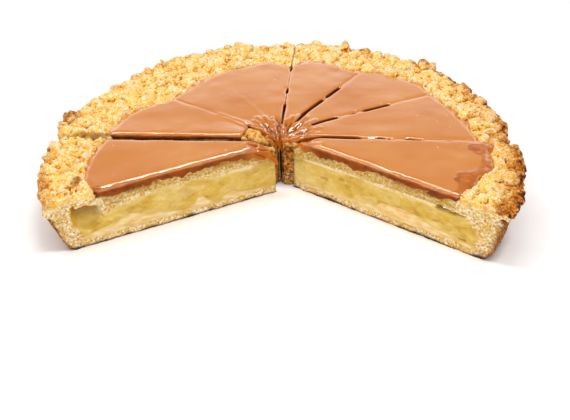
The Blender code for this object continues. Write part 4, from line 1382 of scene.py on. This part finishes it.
# Caramel strands near the middle: each a list of azimuth, radius, height and size.
STRANDS = {
    1: (
        ((204, 14, 33.4, 1.5), (206, 10.5, 31.6, 1.6), (216, 7.5, 29.2, 1.7), (232, 5.2, 26, 1.5), (246, 4.4, 23, 1.2)),
        ((199, 13, 33.6, 1.2), (203, 8.5, 31.4, 1.3), (214, 5.6, 28.2, 1.3)),
        ((190, 12, 33.2, 1.2), (190, 8, 31.4, 1.2), (188, 5, 28.8, 1.2)),
    ),
    3: (
        ((140, 27, 35.9, 1.1), (136, 19, 35.4, 1.1), (128, 11, 33.4, 1.2), (112, 6, 30.4, 1.2), (90, 3, 26.5, 1.2)),
        ((129, 24, 35.9, 1.1), (126, 15, 34.9, 1.1), (117, 8.5, 32.2, 1.2), (96, 4, 28.4, 1.2)),
        ((121, 26, 36, 1), (118, 17, 35.3, 1.1), (110, 9.5, 33, 1.2)),
    ),
    4: (
        ((111, 24, 36.1, 1), (108, 15, 35.2, 1.1), (101, 8.5, 32.6, 1.2), (84, 4.6, 29, 1.3), (60, 3, 24, 1.2)),
        ((101, 21, 36, 1.1), (98, 14, 35.1, 1.2), (93, 8, 32.4, 1.3), (76, 4, 28.4, 1.3)),
        ((90, 17, 35.4, 1), (89, 12, 34.4, 1.2), (84, 7, 31.8, 1.3), (66, 4.6, 28.4, 1.3)),
        ((131, 15, 34.4, 0.9), (114, 13, 35, 1), (100, 12, 35, 0.9), (87, 13.5, 34.8, 0.8)),
        ((102, 18, 35.8, 1.1), (93, 14.6, 35.8, 1.4), (83, 12.4, 35.2, 1.4), (72, 11, 34.2, 1.2), (58, 8, 32.4, 1.1)),
        ((108, 12, 34.8, 1.3), (95, 9.6, 34.4, 1.5), (80, 8, 33.4, 1.5), (62, 6.4, 31.8, 1.3)),
    ),
    5: (
        ((78, 18, 35.6, 1), (78, 12.5, 34.4, 1.2), (76, 7.5, 31.8, 1.3), (60, 4.2, 27.6, 1.2)),
        ((69, 23, 36, 1.1), (68, 15, 35, 1.2), (64, 8.5, 32.2, 1.3), (46, 5.4, 28, 1.2)),
        ((61, 26, 36, 1), (62, 18, 35.4, 1), (60, 11, 33.4, 1.1)),
    ),
    6: (
        ((51, 26, 36.4, 1), (48, 19, 36.2, 1.1), (45, 12, 34.4, 1.2), (40, 7, 31.2, 1.2)),
        ((36, 27, 36.4, 1), (35, 20, 36.2, 1.1), (36, 13, 34.4, 1.2), (46, 9.5, 33.2, 1.1)),
        ((29, 21, 35.8, 1), (27, 13, 34, 1.1), (20, 7, 30.8, 1.2)),
    ),
    7: (
        ((16, 25, 36.1, 1), (13, 16, 34.8, 1.1), (8, 8.5, 31.6, 1.2)),
        ((2, 23, 35.8, 1), (0, 14, 34.2, 1.1), (-4, 7.5, 31.2, 1.1)),
    ),
    8: (((-24, 16, 34.4, 1.3), (-26, 10, 32.6, 1.3), (-28, 5, 30, 1.2), (-26, 2.6, 28, 1)),),
}  # fmt: skip


def strand_beads(strand):
    """Beads along one strand, close enough to fuse."""
    knots = np.array(strand)
    places = polar(knots[:, 0], knots[:, 1], knots[:, 2] - knots[:, 3])
    steps = np.concatenate([[0.0], np.cumsum(np.linalg.norm(np.diff(places, axis=0), axis=1))])
    at = np.arange(0.0, steps[-1], 0.7)
    sizes = np.interp(at, steps, knots[:, 3])
    places = stacked(*(np.interp(at, steps, places[:, axis]) for axis in range(3)))
    return beads(places, stacked(sizes, sizes, sizes))


# Where the caramel has run out thin over the crumbs and is painted with a glow, as of light through it: azimuth, radius
# and reach.
THIN_PLACES = ((-11.0, 114.0, 9.0), (-27.0, 112.0, 11.0), (204.0, 107.0, 4.0), (24.0, 108.0, 4.0), (150.0, 87.0, 4.0))


def caramel_pool(numbers, settings):
    """The caramel of neighbouring slices as one skin, with its lips, drips, lobes and drapes."""
    parts = []
    rng = np.random.default_rng(settings.seed + numbers[0])
    home = portions[numbers[0]]
    for number in numbers:
        portion = portions[number]
        corners, faces = portion.solid("caramel")
        if number == 2:
            corners = polar(azimuth_of(corners), np.maximum(radius_of(corners), BARE_TO), corners[:, 2])
        corners = drawn_back(corners, portion)
        own = [(corners, faces)] + lip_beads(portion, settings) + [edge_beads(portion, rng)]
        own += [strand_beads(strand) for strand in STRANDS.get(number, ())]
        own += [skirt_beads(portion, side) for side in (0, 1) if (number, side) in SKIRTS]
        parts += [(points + portion.shift - home.shift, shape) for points, shape in own]
    voxel = settings.voxel / MM * 1.0
    skin = fused(parts, voxel)
    rough, smooth = skin.relaxed(1), skin.relaxed(settings.smoothing)
    near = 1.0 - ease(20.0, 28.0, radius_of(smooth))
    skin.points = smooth + (rough - smooth) * near[:, None]
    points, normals = skin.points, skin.normals()
    upward = ease(0.35, 0.9, normals[:, 2])
    wave = 0.22 * soft_noise(points, (30.0, 20.0, 50.0), 91) + 0.08 * soft_noise(points, (10.0, 8.0, 30.0), 92)
    wave *= upward
    radius = radius_of(points)
    folds_at = stacked(azimuth_of(points), radius * 0.9, 0.0)
    folds = 0.6 - 2.2 * np.abs(soft_noise(folds_at, 13.0, 93)) + 0.5 * soft_noise(folds_at, 6.0, 97)
    folds *= (1.0 - ease(10.0, 24.0, radius)) * ease(1.0, 5.0, radius)
    points[:, 2] += wave + 1.7 * folds * ease(0.0, 0.5, normals[:, 2])
    return skin


def make_caramel(name, numbers, settings, glossy, shaded_copy):
    """The caramel of neighbouring slices as one pool, glossy on top; the faces with painted shade take a duller copy of
    the material.
    """
    skin, home = caramel_pool(numbers, settings), portions[numbers[0]]
    points, normals = skin.points, skin.normals()
    radius = radius_of(points)
    sunk = CARAMEL_TOP - crater(radius, azimuth_of(points)) - points[:, 2]
    steep = 1.0 - ease(0.25, 0.85, normals[:, 2])
    azimuth = azimuth_of(points)
    edge = along(CARAMEL_EDGE, azimuth) + lobes(azimuth)
    see_through = np.zeros(len(points))
    for place_azimuth, place_radius, reach in THIN_PLACES:
        close = level_distance(points, place_azimuth, place_radius) / reach
        see_through = np.maximum(see_through, 1.0 - ease(0.25, 1.0, close))
    # Painted glow, as of light through the caramel, where it is thin at the edge and in the lips and middle drapes.
    thin = 1.1 + 6.5 * see_through
    rim = ease(-1.0, -0.1, (radius - edge + 0.7 * soft_noise(points, 4.0, 94)) / thin) * (0.6 + 0.4 * see_through)
    # The lip gets painted glow; the steep side below it gets painted shade.
    uneven = sunk + 0.5 * soft_noise(points, 4.0, 95)
    lip = steep * (1.0 - ease(1.8, 3.0, uneven))
    side = steep * ease(1.6, 3.0, uneven)
    middle = 1.0 - ease(12.0, 26.0, radius)
    side = side * (1.0 - middle)
    lip *= ease(0.3, 1.1, sunk)
    patch = ease(0.3, 0.6, see_through + 0.3 * soft_noise(points, 3.0, 96))
    rim = np.maximum(rim, 0.95 * patch)
    painted_glow = np.maximum(np.maximum(0.85 * lip, rim), middle * (0.15 + 0.55 * steep))
    standing = skin.standing(6)
    # Painted shade in the creases and down in the cuts that stand open.
    crease_shade = ease(0.03, -0.15, standing) * middle + 0.2 * ease(0.0, -0.16, standing) * (1.0 - middle)
    gap = in_open_cuts(points, numbers) * ease(0.3, 0.9, sunk)
    side, crease_shade = np.maximum(side, gap), np.maximum(crease_shade, gap)
    paint = painted(painted_glow, side, 0.75 * middle, crease_shade)
    piece = finished("caramel", skin, home, glossy, paint, name, numbers)
    piece.data.materials.append(shaded_copy)
    # The faces with painted shade take the duller copy of the material.
    shaded = np.maximum(side, middle * steep * ease(33.0, 31.0, points[:, 2]))
    piece.data.polygons.foreach_set("material_index", (shaded[skin.faces].mean(axis=1) > 0.4).astype(np.int32))
    return piece


# ---------------------------------------------------------------- settings


def colour_of(name, description, code):
    return bpy.props.FloatVectorProperty(
        name=name, description=description, subtype="COLOR", size=3, min=0.0, max=1.0, default=hue(code)[:3]
    )


def length_of(name, description, default):
    return bpy.props.FloatProperty(name=name, description=description, unit="LENGTH", min=0.0001, default=default)


class CrustSettings(bpy.types.PropertyGroup):
    grain_size: length_of("Grain", "Size of the faces of the crust", 0.0008)
    skin_colour: colour_of("Skin", "Colour of the browned outside", "B46A26")


class CustardSettings(bpy.types.PropertyGroup):
    grain_size: length_of("Grain", "Size of the faces of the custard", 0.0008)
    custard_colour: colour_of("Custard", "Colour of the custard", "ECC886")


class AppleSettings(bpy.types.PropertyGroup):
    grain_size: length_of("Grain", "Size of the faces of the apple", 0.0006)
    pale_line: length_of("Pale line", "Height of the pale line under the crumble", 0.0228)
    apple_colour: colour_of("Apple", "Colour of the cooked apple", "D2A834")


class CrumbleSettings(bpy.types.PropertyGroup):
    voxel: length_of("Fineness", "Size of the faces of the crumble", 0.00056)
    seed: bpy.props.IntProperty(name="Seed", description="Which crumbs fall where", min=0, default=5)
    crumb_colour: colour_of("Crumb", "Colour of the pale crumbs", "FFDB76")
    toast_colour: colour_of("Toast", "Colour of the toasted crumbs", "DC841C")


class CaramelSettings(bpy.types.PropertyGroup):
    voxel: length_of("Fineness", "Size of the faces of the caramel", 0.00066)
    smoothing: bpy.props.IntProperty(name="Smoothing", description="Rounds of smoothing", min=0, default=4)
    seed: bpy.props.IntProperty(name="Seed", description="Which lobes lie where", min=0, default=9)
    top_colour: colour_of("Top", "Colour of the smooth top", "D78842")
    edge_colour: colour_of("Edge", "Colour of the thin glowing edges", "C66A0C")
    side_colour: colour_of("Side", "Colour of the shaded side below the lip", "964606")


class StageSettings(bpy.types.PropertyGroup):
    floor_colour: colour_of("Floor", "Colour of the floor", "FFFFFF")
    sky_strength: bpy.props.FloatProperty(name="Sky", description="Strength of the soft light all round", default=1.25)
    lamp_power: bpy.props.FloatProperty(
        name="Lamp", description="Power that each lamp has its share of", unit="POWER", min=0.0, default=9.0
    )


# ---------------------------------------------------------------- operators


def dress(settings, make_material, make):
    """Makes one layer of every slice, all in one material."""
    material = make_material(settings)
    for portion in portions.values():
        make(portion, settings, material)
    return {"FINISHED"}


class PIE_OT_crust(bpy.types.Operator):
    """Dress the shortcrust base and wall of every slice"""

    bl_idname = "pie.crust"
    bl_label = "Shortcrust"

    def execute(self, context):
        return dress(context.scene.pie_crust, crust_material, make_crust)


class PIE_OT_custard(bpy.types.Operator):
    """Dress the custard of every slice"""

    bl_idname = "pie.custard"
    bl_label = "Custard"

    def execute(self, context):
        return dress(context.scene.pie_custard, custard_material, make_custard)


class PIE_OT_apple(bpy.types.Operator):
    """Dress the cooked apple of every slice"""

    bl_idname = "pie.apple"
    bl_label = "Cooked apple"

    def execute(self, context):
        return dress(context.scene.pie_apple, apple_material, make_apple)


class PIE_OT_crumble(bpy.types.Operator):
    """Dress the crumble of every slice"""

    bl_idname = "pie.crumble"
    bl_label = "Crumble"

    def execute(self, context):
        return dress(context.scene.pie_crumble, crumble_material, make_crumble)


# The pools of caramel: the pulled-out slice's own, and two over the slices that still touch.
POOLS = {"caramel_left": (1,), "caramel_back": (2, 3, 4), "caramel_right": (5, 6, 7, 8)}


class PIE_OT_caramel(bpy.types.Operator):
    """Pour the caramel in its three pools"""

    bl_idname = "pie.caramel"
    bl_label = "Caramel"

    def execute(self, context):
        settings = context.scene.pie_caramel
        glossy = caramel_material("glossy_caramel", 0.1, GLOSSY, settings)
        shaded_copy = caramel_material("shaded_copy_caramel", 0.5, SHADED_COPY_GLOSS, settings)
        for name, numbers in POOLS.items():
            make_caramel(name, numbers, settings, glossy, shaded_copy)
        return {"FINISHED"}


class PIE_OT_stage(bpy.types.Operator):
    """Set up the floor, the soft light and the camera"""

    bl_idname = "pie.stage"
    bl_label = "Floor, light and camera"

    def execute(self, context):
        settings = context.scene.pie_stage
        make_floor(settings)
        make_light(settings)
        make_camera()
        context.scene.view_settings.view_transform = "Standard"
        return {"FINISHED"}


FLOOR_REACH = 3.0


def make_floor(settings):
    corners = FLOOR_REACH * np.array([(-1.0, -1.0, 0.0), (1.0, -1.0, 0.0), (1.0, 1.0, 0.0), (-1.0, 1.0, 0.0)])
    floor = new_object("floor", corners, np.array([[0, 1, 2, 3]]))
    material = bpy.data.materials.new("pale_floor")
    material.use_nodes = True
    shader = material.node_tree.nodes["Principled BSDF"]
    shader.inputs["Base Color"].default_value = (*settings.floor_colour, 1.0)
    shader.inputs["Roughness"].default_value = 0.7
    shader.inputs["Specular IOR Level"].default_value = 0.2
    floor.data.materials.append(material)


# The sky's brightness by height above the horizon, as sine and share: bright round the rim, dim further up.
SKY = ((0.0, 1.0), (0.36, 1.0), (0.45, 0.56), (0.50, 0.34), (0.56, 0.16), (0.62, 0.10), (1.0, 0.10))

# The lamps: name, place, size, turn, share of the power, and colour.
LAMPS = (
    ("main", (0.31, -0.19, 1.15), (0.42, 0.16), 28.0, 0.66, (1.0, 1.0, 1.0)),
    ("top", (-0.06, 0.04, 1.25), (0.50, 0.40), 0.0, 0.40, (1.0, 1.0, 1.0)),
    ("second", (-0.45, 0.10, 1.05), (0.34, 0.16), -30.0, 0.26, (1.0, 1.0, 1.0)),
    ("front", (-0.1, -1.4, 0.8), (0.8, 0.5), 0.0, 0.08, (1.0, 1.0, 1.0)),
    ("side", (-1.25, -0.55, 0.5), (0.5, 0.4), 90.0, 0.28, (1.0, 0.84, 0.52)),
)


def make_light(settings):
    world = bpy.data.worlds.new("soft_sky")
    world.use_nodes = True
    nodes, links = world.node_tree.nodes, world.node_tree.links
    split = nodes.new("ShaderNodeSeparateXYZ")
    links.new(nodes.new("ShaderNodeTexCoord").outputs["Generated"], split.inputs["Vector"])
    ramp = nodes.new("ShaderNodeValToRGB")
    fill_ramp(ramp, [(place, (share, share, share, 1.0)) for place, share in SKY])
    links.new(split.outputs["Z"], ramp.inputs["Fac"])
    links.new(ramp.outputs["Color"], nodes["Background"].inputs["Color"])
    nodes["Background"].inputs["Strength"].default_value = settings.sky_strength
    bpy.context.scene.world = world
    for name, place, size, turn, share, colour in LAMPS:
        light = bpy.data.lights.new(name, "AREA")
        light.shape = "RECTANGLE"
        light.size, light.size_y = size
        light.energy = share * settings.lamp_power
        light.color = colour
        lamp = bpy.data.objects.new(name, light)
        down = (Vector((0.0, 0.0, 0.02)) - Vector(place)).normalized()
        along_lamp = Vector(polar(turn, 1.0))
        across = down.cross(along_lamp).normalized()
        lamp.matrix_world = Matrix((across.cross(down), across, -down)).transposed().to_4x4()
        lamp.location = place
        bpy.context.scene.collection.objects.link(lamp)


# The camera: how far from the pie's axis, how high in radians, pitch, yaw and roll, and focal length.
CAMERA_DISTANCE = 0.4499
CAMERA_RISE = 0.6029
CAMERA_TURNS = (-0.0354, 0.0045, -0.0299)
CAMERA_LENS = 46.23


def make_camera():
    """The camera as far back, as high and as turned as it stood for the picture."""
    pitch, yaw, roll = CAMERA_TURNS
    back = Vector((0.0, -math.cos(CAMERA_RISE), math.sin(CAMERA_RISE)))
    forward, right = -back, Vector((1.0, 0.0, 0.0))
    up = right.cross(forward)
    ahead = forward * math.cos(yaw) + right * math.sin(yaw)
    right = right * math.cos(yaw) - forward * math.sin(yaw)
    aim = ahead * math.cos(pitch) + up * math.sin(pitch)
    up = up * math.cos(pitch) - ahead * math.sin(pitch)
    side = right * math.cos(roll) + up * math.sin(roll)
    up = up * math.cos(roll) - right * math.sin(roll)
    data = bpy.data.cameras.new("camera")
    data.sensor_width = 36.0
    data.lens = CAMERA_LENS
    data.clip_start = 0.01
    camera = bpy.data.objects.new("camera", data)
    turn = Matrix((side, up, -aim)).transposed().to_4x4()
    camera.matrix_world = Matrix.Translation(back * CAMERA_DISTANCE + Vector(PIE_AXIS) * MM) @ turn
    bpy.context.scene.collection.objects.link(camera)
    bpy.context.scene.camera = camera


class PIE_PT_layers(bpy.types.Panel):
    """The pie's layers, from the crust up, and its stage"""

    bl_idname = "PIE_PT_layers"
    bl_label = "Apple crumble pie"
    bl_space_type = "VIEW_3D"
    bl_region_type = "UI"
    bl_category = "Pie"

    def draw(self, context):
        for name, (operator, _) in LAYERS.items():
            box = self.layout.box()
            box.operator(operator.bl_idname)
            group = getattr(context.scene, f"pie_{name}")
            for setting in group.__annotations__:
                box.prop(group, setting)


LAYERS = {
    "crust": (PIE_OT_crust, CrustSettings),
    "custard": (PIE_OT_custard, CustardSettings),
    "apple": (PIE_OT_apple, AppleSettings),
    "crumble": (PIE_OT_crumble, CrumbleSettings),
    "caramel": (PIE_OT_caramel, CaramelSettings),
    "stage": (PIE_OT_stage, StageSettings),
}


def register():
    for name, (operator, group) in LAYERS.items():
        bpy.utils.register_class(group)
        setattr(bpy.types.Scene, f"pie_{name}", bpy.props.PointerProperty(type=group))
        bpy.utils.register_class(operator)
    bpy.utils.register_class(PIE_PT_layers)


def unregister():
    bpy.utils.unregister_class(PIE_PT_layers)
    for name, (operator, group) in reversed(LAYERS.items()):
        bpy.utils.unregister_class(operator)
        delattr(bpy.types.Scene, f"pie_{name}")
        bpy.utils.unregister_class(group)


def main():
    register()
    for name in LAYERS:
        getattr(bpy.ops.pie, name)()


if __name__ == "__main__":
    main()
